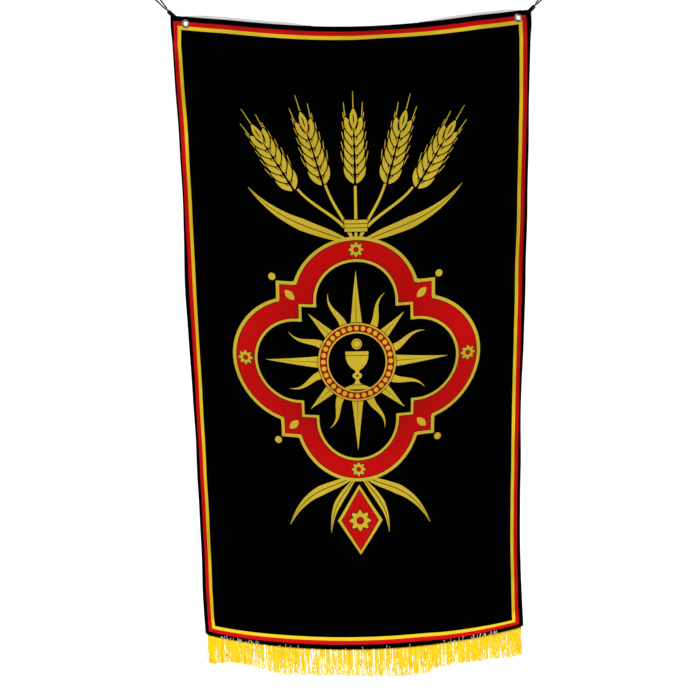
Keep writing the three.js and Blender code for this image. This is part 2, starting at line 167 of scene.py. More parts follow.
# The print lies unevenly on the cut cloth. Along each side, from its left or top end: how much wider
# the black stripe is than its usual width, and how far the red and the gold stripe are stretched
BORDER = {
    "top": [
        (-0.3, 0.0, 1.04), (0.0, -0.0001, 1.03), (0.05, -0.0004, 0.98), (0.15, 0.0005, 1.03),
        (0.2, 0.0003, 1.06), (0.3, -0.0003, 1.06),
    ],
    "left": [
        (0.0, -0.004, 0.97), (0.03, -0.0029, 0.97), (0.06, -0.0006, 0.96), (0.2, 0.0, 0.95),
        (0.31, -0.0002, 0.98), (0.36, 0.001, 0.96), (0.43, 0.0033, 0.95), (0.5, 0.004, 0.95),
        (0.58, 0.003, 0.95), (0.69, 0.0013, 0.96), (0.77, 0.0021, 0.96), (0.9, 0.0019, 0.94),
        (1.02, 0.0028, 0.94), (1.06, 0.0009, 0.93), (1.1, 0.0003, 0.98),
    ],
    "right": [
        (0.0, 0.0008, 0.98), (0.06, 0.0008, 1.0), (0.1, -0.0001, 1.01), (0.15, -0.0012, 1.0),
        (0.2, -0.0004, 1.0), (0.25, 0.0004, 1.01), (0.36, 0.001, 0.97), (0.5, 0.0015, 1.0),
        (0.57, 0.001, 1.0), (0.64, -0.0006, 0.98), (0.7, -0.0011, 0.97), (0.77, 0.001, 0.98),
        (0.9, 0.001, 0.96), (1.02, 0.0018, 0.97), (1.1, 0.001, 0.98),
    ],
    "bottom": [
        (-0.3, 0.0004, 1.06), (-0.24, -0.0002, 1.11), (-0.1, 0.0015, 1.17), (0.1, 0.0015, 1.19),
        (0.15, -0.0002, 1.13), (0.2, -0.0012, 1.08), (0.25, -0.0005, 0.91), (0.3, -0.0006, 0.82),
    ],
}

# The camera's place, and its turn to the right, its tilt down and its roll, in degrees
CAMERA_PLACE = (-0.02855, -1.3918, -0.3561)
CAMERA_YAW = 0.63
CAMERA_PITCH = 8.49
CAMERA_ROLL = -1.16
CAMERA_SENSOR = 36.0
CAMERA_LENS = CAMERA_SENSOR * 8 / 7


# Sizes and colours that a user may change


class BannerClothSettings(bpy.types.PropertyGroup):
    black_stripe: FloatProperty(
        name="Black stripe",
        description="Usual width of the border's outer stripe",
        default=0.0078,
        min=0.003,
        max=0.02,
        unit="LENGTH",
    )
    red_stripe: FloatProperty(
        name="Red stripe",
        description="Usual width of the border's middle stripe",
        default=0.0069,
        min=0.003,
        max=0.02,
        unit="LENGTH",
    )
    gold_stripe: FloatProperty(
        name="Gold stripe",
        description="Usual width of the border's inner stripe",
        default=0.0057,
        min=0.003,
        max=0.02,
        unit="LENGTH",
    )
    hem: FloatProperty(
        name="Hem width",
        description="Width of the hem that is turned to the back",
        default=0.012,
        min=0.011,
        max=0.02,
        unit="LENGTH",
    )
    grid: FloatProperty(
        name="Mesh pitch",
        description="Distance between the mesh points of the plain cloth",
        default=0.006,
        min=0.004,
        max=0.03,
        unit="LENGTH",
    )
    black: FloatVectorProperty(
        name="Black",
        description="Dyed ground of the cloth",
        default=(0.0006, 0.0006, 0.0007),
        subtype="COLOR",
        min=0,
        max=1,
    )
    red: FloatVectorProperty(
        name="Red",
        description="Red ink",
        default=(0.68, 0.003, 0.003),
        subtype="COLOR",
        min=0,
        max=1,
    )
    gold: FloatVectorProperty(
        name="Gold",
        description="Gold ink",
        default=(0.88, 0.64, 0.02),
        subtype="COLOR",
        min=0,
        max=1,
    )


class BannerFringeSettings(bpy.types.PropertyGroup):
    loops: IntProperty(
        name="Loops",
        description="Number of looped yarns in the front row of the fringe",
        default=190,
        min=20,
        max=400,
    )
    back_loops: IntProperty(
        name="Loops behind",
        description="Number of looped yarns in the back row of the fringe",
        default=380,
        min=0,
        max=600,
    )
    yarn_radius: FloatProperty(
        name="Yarn radius",
        description="Radius of a twisted yarn",
        default=0.00088,
        min=0.0002,
        max=0.0015,
        unit="LENGTH",
    )
    deep: FloatVectorProperty(
        name="Deep yellow",
        description="Deeper colour of the yarn",
        default=(0.96, 0.63, 0.0),
        subtype="COLOR",
        min=0,
        max=1,
    )
    pale: FloatVectorProperty(
        name="Pale yellow",
        description="Paler colour of the yarn",
        default=(0.98, 0.76, 0.05),
        subtype="COLOR",
        min=0,
        max=1,
    )


class BannerTieSettings(bpy.types.PropertyGroup):
    cord_radius: FloatProperty(
        name="Cord radius",
        description="Radius of the tie cord",
        default=0.0012,
        min=0.0005,
        max=0.003,
        unit="LENGTH",
    )
    colour: FloatVectorProperty(
        name="Colour",
        description="Colour of the tie cords and ribbon tabs",
        default=(0.003, 0.003, 0.0035),
        subtype="COLOR",
        min=0,
        max=1,
    )


class BannerEyeletSettings(bpy.types.PropertyGroup):
    metal: FloatVectorProperty(
        name="Metal",
        description="Colour of the plated eyelets",
        default=(0.5, 0.46, 0.42),
        subtype="COLOR",
        min=0,
        max=1,
    )


class BannerStageSettings(bpy.types.PropertyGroup):
    floor_height: FloatProperty(
        name="Floor height",
        description="Height of the floor, from the banner's top corners",
        default=-2.6,
        unit="LENGTH",
    )
    key_strength: FloatProperty(
        name="Key light",
        description="Strength of the large soft light, high in front and to the left",
        default=3.5,
        min=0,
        max=50,
    )
    fill_power: FloatProperty(
        name="Fill light",
        description="Power of the soft light in front, low on the right",
        default=2.0,
        min=0,
        max=500,
    )
    sky: FloatProperty(
        name="Surrounding light",
        description="Strength of the light from all round",
        default=0.2,
        min=0,
        max=5,
    )


# How the cloth hangs


def smooth_at(places, values, at):
    """A smooth line through the values given at some places, read at other places."""
    places = np.asarray(places, float)
    values = np.asarray(values, float)
    last = len(places) - 1
    at = np.clip(at, places[0], places[-1])
    i = np.clip(np.searchsorted(places, at, side="left") - 1, 0, last - 1)
    before = np.clip(np.arange(last + 1) - 1, 0, last)
    after = np.clip(np.arange(last + 1) + 1, 0, last)
    slope = (values[after] - values[before]) / (places[after] - places[before])
    span = places[i + 1] - places[i]
    t = (at - places[i]) / span
    start = values[i] * (1 + 2 * t) * (1 - t) ** 2 + slope[i] * span * t * (1 - t) ** 2
    end = values[i + 1] * t * t * (3 - 2 * t) + slope[i + 1] * span * t * t * (t - 1)
    return start + end


def smooth_step(x, low, high):
    t = np.clip((x - low) / (high - low), 0, 1)
    return t * t * (3 - 2 * t)


def across_three(values, u):
    left, middle, right = values
    return middle + (right - left) / 2 * u + ((left + right) / 2 - middle) * u * u


def fold_height(u, down):
    total = np.zeros_like(u)
    for crest, rise, reach in FOLDS:
        from_crest = (down - across_three(crest, u)) / reach
        total = total + across_three(rise, u) * np.exp(-(from_crest**2))
    return total


def corner_flatness(across, down):
    starts = np.where(across < 0, -EYELET_ACROSS["left"], EYELET_ACROSS["right"]) - CORNER_PATCH
    inward = np.maximum(0, starts - np.abs(across))
    below = np.maximum(0, down - HEADING_DEPTH)
    return 1 - smooth_step(np.hypot(inward, below), 0, PATCH_FADE)


def front_points(across, down):
    """Where points of the flat cloth come to lie on its front face."""
    across = np.atleast_1d(np.asarray(across, float))
    down = np.atleast_1d(np.asarray(down, float))
    half = FLAT_WIDTH / 2
    u = across / half
    sign = np.where(across < 0, -1.0, 1.0)
    ease = (1 - ROLL_LEFT_AT_HEM) * smooth_step(down, ROLL_EASES, FLAT_LENGTH)
    fade = smooth_step(down, ROLL_STARTS, ROLL_FULL) * (1 - ease)
    left_angle = math.radians(ROLL_ANGLE["left"]) * fade
    right_angle = math.radians(ROLL_ANGLE["right"]) * fade
    bend_left = smooth_at(SIDE_DOWN, LEFT_EDGE, down) + ROLL_WIDTH * np.cos(left_angle)
    bend_right = smooth_at(SIDE_DOWN, RIGHT_EDGE, down) - ROLL_WIDTH * np.cos(right_angle)
    flat_bend = half - ROLL_WIDTH
    inner = np.clip(across, -flat_bend, flat_bend)
    beyond = np.abs(across) - np.abs(inner)
    turn = np.where(across < 0, left_angle, right_angle) * smooth_step(beyond, 0, ROLL_WIDTH / 2)
    share = (inner + flat_bend) / (2 * flat_bend)
    x = bend_left + (bend_right - bend_left) * share + sign * beyond * np.cos(turn)
    roundness = np.maximum(0, 1 - u * u)
    top_sag = TOP_SAG * roundness**TOP_SAG_POWER
    bottom_sag = BOTTOM_SAG * roundness**BOTTOM_SAG_POWER
    sag = top_sag + (bottom_sag - top_sag) * down / FLAT_LENGTH
    z = -sag - down * (HANG_LENGTH / FLAT_LENGTH)
    stands = BELLY * (1 - u * u) + fold_height(u, down)
    y = -stands * (1 - corner_flatness(across, down)) + beyond * np.sin(turn)
    return np.stack([x, y, z], axis=-1)


def front_normals(across, down):
    step = 0.0005
    half = FLAT_WIDTH / 2
    right = front_points(np.minimum(across + step, half), down)
    left = front_points(np.maximum(across - step, -half), down)
    low = front_points(across, down + step)
    high = front_points(across, np.maximum(down - step, 0))
    normal = np.cross(low - high, right - left)
    return normal / np.linalg.norm(normal, axis=1, keepdims=True)


def cloth_place(across, down, depth=0.0):
    """A point behind the front face by the given depth."""
    at = front_points([across], [down])[0] - front_normals(
        np.array([float(across)]), np.array([float(down)])
    )[0] * depth
    return Vector(at)


# Meshes


def open_sides(triangles):
    """The sides that no second triangle shares, each in the direction of its own triangle."""
    sides = {}
    for tri in triangles.tolist():
        for a, b in ((tri[0], tri[1]), (tri[1], tri[2]), (tri[2], tri[0])):
            sides.setdefault((min(a, b), max(a, b)), []).append((a, b))
    return [found[0] for found in sides.values() if len(found) == 1]


def face_outwards(piece):
    """Turns the faces of a closed piece so that they all look outwards."""
    deselect()
    piece.select_set(True)
    bpy.context.view_layer.objects.active = piece
    bpy.ops.object.mode_set(mode="EDIT")
    bpy.ops.mesh.select_all(action="SELECT")
    bpy.ops.mesh.normals_make_consistent(inside=False)
    bpy.ops.object.mode_set(mode="OBJECT")


def deselect():
    for o in bpy.context.selected_objects:
        o.select_set(False)


def new_piece(name, verts, faces, materials, smooth=True):
    mesh = bpy.data.meshes.new(name)
    mesh.from_pydata([tuple(v) for v in verts], [], [tuple(f) for f in faces])
    for material in materials:
        mesh.materials.append(material)
    mesh.polygons.foreach_set("use_smooth", [smooth] * len(mesh.polygons))
    piece = bpy.data.objects.new(name, mesh)
    bpy.context.scene.collection.objects.link(piece)
    return piece


def finish_piece(piece, slot, *nodes):
    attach(piece, BODY)
    if nodes:
        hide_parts(*nodes)
    return piece


def frames_along(points):
    """Directions across a smooth line, turned as little as may be from point to point."""
    tangents = []
    for i in range(len(points)):
        ahead = points[min(i + 1, len(points) - 1)] - points[max(i - 1, 0)]
        tangents.append(ahead.normalized())
    side = tangents[0].orthogonal().normalized()
    frames = []
    for tangent in tangents:
        side = (side - tangent * side.dot(tangent)).normalized()
        frames.append((side, tangent.cross(side)))
    return frames


class Strands:
    """Gathers tubes of yarn or cord into one mesh, with a map that runs round and along each."""

    def __init__(self):
        self.verts = []
        self.faces = []
        self.corners = []
        self.tones = []

    def add(self, points, radius, sides, tone=0.5, lobes=0, lobe_depth=0.0, pitch=0.01):
        start = len(self.verts)
        rows = len(points)
        travelled = [0.0]
        for a, b in zip(points, points[1:]):
            travelled.append(travelled[-1] + (b - a).length)
        for i, (point, (side, up)) in enumerate(zip(points, frames_along(points))):
            size = radius(i / (rows - 1)) if callable(radius) else radius
            twist = 2 * math.pi * travelled[i] / pitch
            for n in range(sides):
                angle = 2 * math.pi * n / sides
                r = size * (1 + lobe_depth * math.cos(lobes * angle - twist))
                self.verts.append(point + side * (r * math.cos(angle)) + up * (r * math.sin(angle)))
                self.tones.append(tone)
        for i in range(rows - 1):
            for n in range(sides):
                m = (n + 1) % sides
                row, above = start + i * sides, start + (i + 1) * sides
                self.faces.append((row + n, row + m, above + m, above + n))
                low, high = travelled[i], travelled[i + 1]
                around, next_round = n / sides, (n + 1) / sides
                self.corners += [(around, low), (next_round, low), (next_round, high), (around, high)]
        for first, turn in ((start, -1), (start + (rows - 1) * sides, 1)):
            ring = [first + n for n in range(sides)][::turn]
            self.faces.append(tuple(ring))
            self.corners += [(0.0, 0.0)] * sides

    def piece(self, name, material):
        made = new_piece(name, self.verts, self.faces, [material])
        layer = made.data.uv_layers.new(name="Lay")
        layer.data.foreach_set("uv", np.array(self.corners, np.float32).ravel())
        tone = made.data.attributes.new("tone", "FLOAT", "POINT")
        tone.data.foreach_set("value", np.array(self.tones, np.float32))
        return made


def smooth_line(points, step):
    """A smooth line through the points, with a point about every step."""
    pts = [Vector(p) for p in points]
    pts = [pts[0] * 2 - pts[1], *pts, pts[-1] * 2 - pts[-2]]
    line = []
    for p0, p1, p2, p3 in zip(pts, pts[1:], pts[2:], pts[3:]):
        count = max(1, round((p2 - p1).length / step))
        for n in range(count):
            t = n / count
            line.append(
                0.5
                * (
                    2 * p1
                    + (p2 - p0) * t
                    + (2 * p0 - 5 * p1 + 4 * p2 - p3) * t * t
                    + (3 * p1 - p0 - 3 * p2 + p3) * t**3
                )
            )
    line.append(pts[-2])
    return line


# Materials


class Recipe:
    """A material's nodes, made one after another."""

    def __init__(self, name):
        self.material = bpy.data.materials.new(name)
        self.material.use_nodes = True
        self.tree = self.material.node_tree
        self.shader = self.tree.nodes["Principled BSDF"]

    def node(self, kind, **values):
        made = self.tree.nodes.new(kind)
        for key, value in values.items():
            setattr(made, key, value)
        return made

    def join(self, output, target):
        self.tree.links.new(output, target)

    def set(self, **values):
        for key, value in values.items():
            name = key.replace("_", " ").title().replace("Ior", "IOR")
            self.shader.inputs[name].default_value = value

    def math(self, operation, a, b=None, clamp=False):
        made = self.node("ShaderNodeMath", operation=operation, use_clamp=clamp)
        for socket, value in zip(made.inputs, (a, b)):
            if value is None:
                continue
            if isinstance(value, (int, float)):
                socket.default_value = value
            else:
                self.join(value, socket)
        return made.outputs[0]

    def ramp(self, value, stops):
        made = self.node("ShaderNodeValToRGB")
        self.join(value, made.inputs[0])
        elements = made.color_ramp.elements
        while len(elements) < len(stops):
            elements.new(0.5)
        for element, (place, colour) in zip(elements, stops):
            element.position = place
            element.color = (*colour, 1)
        return made.outputs[0]

    def noise(self, vector, scale, detail=2.0, roughness=0.5):
        made = self.node("ShaderNodeTexNoise")
        made.inputs["Scale"].default_value = scale
        made.inputs["Detail"].default_value = detail
        made.inputs["Roughness"].default_value = roughness
        self.join(vector, made.inputs["Vector"])
        return made.outputs["Fac"]

    def bump(self, height, strength, distance):
        made = self.node("ShaderNodeBump")
        made.inputs["Strength"].default_value = strength
        made.inputs["Distance"].default_value = distance
        self.join(height, made.inputs["Height"])
        self.join(made.outputs[0], self.shader.inputs["Normal"])


def shade(colour, factor):
    return tuple(min(1.0, c * factor) for c in colour)


def flat_place(recipe):
    """The place on the flat cloth, across and down."""
    made = recipe.node("ShaderNodeAttribute", attribute_name="flat")
    parts = recipe.node("ShaderNodeSeparateXYZ")
    recipe.join(made.outputs["Vector"], parts.inputs[0])
    return made.outputs["Vector"], parts.outputs["X"], parts.outputs["Y"]


def weave_height(recipe, across, down, pitch):
    """Satin threads: long floats along the cloth, tied down in steps."""
    warp = recipe.math("SINE", recipe.math("MULTIPLY", across, 2 * math.pi / pitch))
    steps = recipe.math("ADD", recipe.math("MULTIPLY", down, 2.2), recipe.math("MULTIPLY", across, 5))
    weft = recipe.math("SINE", recipe.math("MULTIPLY", steps, 2 * math.pi / (pitch * 4)))
    return recipe.math("ADD", warp, recipe.math("MULTIPLY", weft, 0.6))


def printed_cloth(name, colour, spread=0.12, roughness=0.5, gloss=0.12, radial=None, low=False):
    """Satin with ink in it: the ink's tone drifts, and the threads show close up. On the border
    stripes (low) the drift is painted light: fold light and shade along the stripes, and brighter
    stripes at the bottom hem.
    """
    recipe = Recipe(name)
    vector, across, down = flat_place(recipe)
    mottle_and_painted_fold_shade = recipe.noise(vector, 9.0, 3.0)
    if radial:
        off = recipe.math("SUBTRACT", down, MOTIF_DOWN)
        span = recipe.math("SQRT", recipe.math(
            "ADD", recipe.math("MULTIPLY", across, across), recipe.math("MULTIPLY", off, off)))
        drift = recipe.math("MULTIPLY", span, 1 / radial, clamp=True)
        tone = recipe.math("ADD", recipe.math("MULTIPLY", drift, 0.8),
                           recipe.math("MULTIPLY", mottle_and_painted_fold_shade, 0.2))
    else:
        tone = mottle_and_painted_fold_shade
    stops = [(0.15, shade(colour, 1 - spread)), (0.85, shade(colour, 1 + spread))]
    # painted light on the border stripes: brighter along the bottom hem, and the noise paints the
    # folds' light and shade along the stripes
    if low:
        painted_hem_light = recipe.math("MULTIPLY", recipe.math("SUBTRACT", down, 1.066), 100, clamp=True)
        tone = recipe.math("ADD", recipe.math("MULTIPLY", painted_hem_light, 0.7),
                           recipe.math("MULTIPLY", mottle_and_painted_fold_shade, 0.3))
        stops = [(0.09, shade(colour, 0.56)), (0.21, shade(colour, 0.86)), (0.9, colour)]
    ink = recipe.ramp(tone, stops)
    recipe.join(ink, recipe.shader.inputs["Base Color"])
    rough = recipe.noise(vector, 60.0, 2.0)
    recipe.join(
        recipe.math("ADD", recipe.math("MULTIPLY", rough, 0.12), roughness - 0.06),
        recipe.shader.inputs["Roughness"],
    )
    recipe.set(specular_ior_level=gloss)
    recipe.bump(weave_height(recipe, across, down, 0.0007), 0.25, 0.00006)
    return recipe.material


def pale_cloth(name, colour):
    recipe = Recipe(name)
    vector, across, down = flat_place(recipe)
    tone = recipe.noise(vector, 22.0, 3.0)
    recipe.join(
        recipe.ramp(tone, [(0.2, shade(colour, 0.86)), (0.8, shade(colour, 1.05))]),
        recipe.shader.inputs["Base Color"],
    )
    recipe.set(roughness=0.72, specular_ior_level=0.15)
    recipe.bump(weave_height(recipe, across, down, 0.0007), 0.35, 0.00008)
    return recipe.material


def yarn_material(name, deep, pale, pitch, roughness=0.45, gloss=0.12, twist_depth=0.22, glow=0.0):
    """Twisted yarn: plies that wind round it, with its own tone from strand to strand."""
    recipe = Recipe(name)
    lay = recipe.node("ShaderNodeUVMap", uv_map="Lay")
    parts = recipe.node("ShaderNodeSeparateXYZ")
    recipe.join(lay.outputs[0], parts.inputs[0])
    wound = recipe.math("MULTIPLY", parts.outputs["Y"], 1 / pitch)
    turn = recipe.math("ADD", parts.outputs["X"], wound)
    ply = recipe.math("SINE", recipe.math("MULTIPLY", turn, 4 * math.pi))
    lifted = recipe.math("ADD", recipe.math("MULTIPLY", ply, 0.5), 0.5)
    tone = recipe.node("ShaderNodeAttribute", attribute_name="tone")
    mixed = recipe.math("ADD", recipe.math("MULTIPLY", tone.outputs["Fac"], 1 - twist_depth),
                        recipe.math("MULTIPLY", lifted, twist_depth))
    recipe.join(recipe.ramp(mixed, [(0.0, deep), (1.0, pale)]), recipe.shader.inputs["Base Color"])
    recipe.set(roughness=roughness, specular_ior_level=gloss)
    # painted light: the yarn glows in its deep colour by the glow given, for the light that passes
    # through it from the bright wall behind
    recipe.shader.inputs["Emission Color"].default_value = (*deep, 1)
    recipe.shader.inputs["Emission Strength"].default_value = glow
    recipe.bump(ply, 0.5, 0.00012)
    return recipe.material


def ribbon_material(name, colour):
    """Ribbed black ribbon with a faint fuzz in its tone."""
    recipe = Recipe(name)
    lay = recipe.node("ShaderNodeTexCoord")
    wave = recipe.node("ShaderNodeTexWave", wave_type="BANDS", bands_direction="DIAGONAL")
    wave.inputs["Scale"].default_value = 900
    wave.inputs["Distortion"].default_value = 0.4
    recipe.join(lay.outputs["Object"], wave.inputs["Vector"])
    fuzz = recipe.noise(lay.outputs["Object"], 700.0, 3.0)
    recipe.join(
        recipe.ramp(fuzz, [(0.3, shade(colour, 0.6)), (0.75, shade(colour, 2.2))]),
        recipe.shader.inputs["Base Color"],
    )
    recipe.set(roughness=0.75, specular_ior_level=0.05)
    recipe.bump(wave.outputs["Fac"], 0.4, 0.0001)
    return recipe.material


def nickel_material(name, colour):
    """Nickel plate with marks from the setting tool, and painted shade: dark brown at the top and
    near black at the bottom.
    """
    recipe = Recipe(name)
    lay = recipe.node("ShaderNodeTexCoord")
    spots = recipe.noise(lay.outputs["Object"], 420.0, 4.0, 0.6)
    parts = recipe.node("ShaderNodeSeparateXYZ")
    recipe.join(lay.outputs["Object"], parts.inputs[0])
    # painted shade by height: near black low on the eyelet, the plate's own colour in the middle,
    # dark brown at the top
    level = recipe.math("MULTIPLY", recipe.math("ADD", parts.outputs["Z"], 0.0205), 60, clamp=True)
    tone = recipe.math("ADD", level, recipe.math("MULTIPLY", spots, 0.16))
    painted_shade_low = (0.012, 0.009, 0.007)
    painted_shade_top_brown = (0.035, 0.018, 0.008)
    stops = [(0.22, painted_shade_low), (0.4, shade(colour, 0.8)), (0.72, colour), (0.92, painted_shade_top_brown)]
    recipe.join(recipe.ramp(tone, stops), recipe.shader.inputs["Base Color"])
    recipe.join(
        recipe.math("ADD", recipe.math("MULTIPLY", spots, 0.25), 0.12),
        recipe.shader.inputs["Roughness"],
    )
    recipe.set(metallic=0.7)
    recipe.bump(recipe.noise(lay.outputs["Object"], 1600.0, 2.0), 0.12, 0.00005)
    return recipe.material


def pale_stage_material(name):
    recipe = Recipe(name)
    lay = recipe.node("ShaderNodeTexCoord")
    grain = recipe.noise(lay.outputs["Object"], 3.0, 2.0)
    recipe.join(
        recipe.ramp(grain, [(0.3, (0.93, 0.93, 0.935)), (0.7, (0.96, 0.96, 0.96))]),
        recipe.shader.inputs["Base Color"],
    )
    recipe.set(roughness=0.9, specular_ior_level=0.0)
    recipe.shader.inputs["Emission Color"].default_value = (1, 1, 1, 1)
    recipe.shader.inputs["Emission Strength"].default_value = 0.07
    return recipe.material


# The print on the cloth: closed outlines, each with its ink, later ones over earlier ones


def ring_points(radius, count, x=0.0, y=0.0):
    angles = [2 * math.pi * n / count for n in range(count)]
    return [(x + radius * math.cos(a), y + radius * math.sin(a)) for a in angles]


def moved(points, x=0.0, y=0.0, turn=0.0, mirror=False):
    """The points turned by so many degrees, then moved; a mirrored copy is for the other side."""
    c, s = math.cos(math.radians(turn)), math.sin(math.radians(turn))
    placed = [(x + px * c - py * s, y + px * s + py * c) for px, py in points]
    return [(-px, py) for px, py in placed] if mirror else placed


def vesica(length, width, count=14):
    """A pointed oval that stands on its lower point."""
    sides = []
    for n in range(count + 1):
        t = n / count
        sides.append((width / 2 * math.sin(math.pi * t) ** 0.8, length * t))
    return sides + [(-x, y) for x, y in sides[-2:0:-1]]


def blade(spine, widths, count=26):
    """A leaf or stem round a curved spine of four control points."""
    left, right = [], []
    for n in range(count + 1):
        t = n / count
        b = [(1 - t) ** 3, 3 * t * (1 - t) ** 2, 3 * t * t * (1 - t), t**3]
        d = [
            -3 * (1 - t) ** 2, 3 * (1 - t) ** 2 - 6 * t * (1 - t),
            6 * t * (1 - t) - 3 * t * t, 3 * t * t,
        ]
        x = sum(k * p[0] for k, p in zip(b, spine))
        y = sum(k * p[1] for k, p in zip(b, spine))
        dx = sum(k * p[0] for k, p in zip(d, spine))
        dy = sum(k * p[1] for k, p in zip(d, spine))
        size = math.hypot(dx, dy) or 1.0
        w = float(np.interp(t, np.linspace(0, 1, len(widths)), widths)) / 2
        left.append((x - dy / size * w, y + dx / size * w))
        right.append((x + dy / size * w, y - dx / size * w))
    return left + right[::-1]


def barbed_quatrefoil(inset, lobe_at=0.105, lobe=0.112, barb=0.138, count=240):
    """Four round lobes with a point between each two, drawn inset by so much."""
    points = []
    r, h = lobe - inset, barb - inset
    for n in range(count):
        angle = 2 * math.pi * n / count
        from_lobe = (angle + math.pi / 4) % (math.pi / 2) - math.pi / 4
        reach = lobe_at * math.cos(from_lobe) + math.sqrt(
            max(0.0, r * r - (lobe_at * math.sin(from_lobe)) ** 2)
        )
        square = h / max(abs(math.cos(angle)), abs(math.sin(angle)))
        size = max(reach, square)
        points.append((size * math.cos(angle), size * math.sin(angle)))
    return points


def chalice_outline():
    half = [
        (0.0195, 0.02), (0.0205, 0.0185), (0.0196, 0.008), (0.0165, -0.001), (0.0105, -0.0085),
        (0.0042, -0.0125), (0.0032, -0.0165), (0.0072, -0.019), (0.0085, -0.0222), (0.0072, -0.0254),
        (0.0032, -0.0276), (0.0031, -0.031), (0.0055, -0.0355), (0.0135, -0.0395), (0.021, -0.0425),
        (0.0218, -0.0458),
    ]
    return half + [(-x, y) for x, y in reversed(half)]


def wheat_ear(shapes, x, y, turn, mirror=False, pairs=6):
    """An ear of wheat that stands on (x, y): pairs of grains with bristles, and a top grain."""

    def put(points, ink):
        shapes.append((ink, moved(points, x, y, turn, mirror)))

    for n in range(pairs):
        at = 0.012 + 0.0155 * n
        lean = 27 - 1.5 * n
        for way in (1, -1):
            grain = moved(vesica(0.034, 0.0125), way * 0.0025, at, -way * lean)
            tip = moved([(0, 0.034)], way * 0.0025, at, -way * lean)[0]
            far = moved([(0, 0.058)], way * 0.0025, at, -way * (lean - 6))[0]
            put(blade([tip, tip, far, far], [0.0019, 0.0009], 6), "gold")
            put(moved(vesica(0.0375, 0.0155), way * 0.0025, at - 0.0018, -way * lean), "black")
            put(grain, "gold")
            put(moved(vesica(0.019, 0.0022), way * 0.0025, at + 0.008, -way * lean), "black")
    top = 0.012 + 0.0155 * pairs - 0.004
    bristle = [(0, top + rise) for rise in (0.03, 0.04, 0.05, 0.062)]
    put(blade(bristle, [0.0019, 0.0009], 6), "gold")
    put(moved(vesica(0.0385, 0.0155), 0, top - 0.002, 0), "black")
    put(moved(vesica(0.035, 0.0125), 0, top, 0), "gold")
    put(moved(vesica(0.019, 0.0022), 0, top + 0.008, 0), "black")


def rosette(shapes, x, y, size, petals, ink, heart):
    """Petals with a fine dark line round them, about a round heart."""
    for n in range(petals):
        turn = 360 * n / petals
        shapes.append(("black", moved(vesica(size * 1.08, size * 0.62), x, y, turn)))
    for n in range(petals):
        turn = 360 * n / petals
        shapes.append((ink, moved(vesica(size, size * 0.5), x, y, turn)))
    shapes.append(("black", ring_points(size * 0.34, 20, x, y)))
    shapes.append((heart, ring_points(size * 0.27, 20, x, y)))


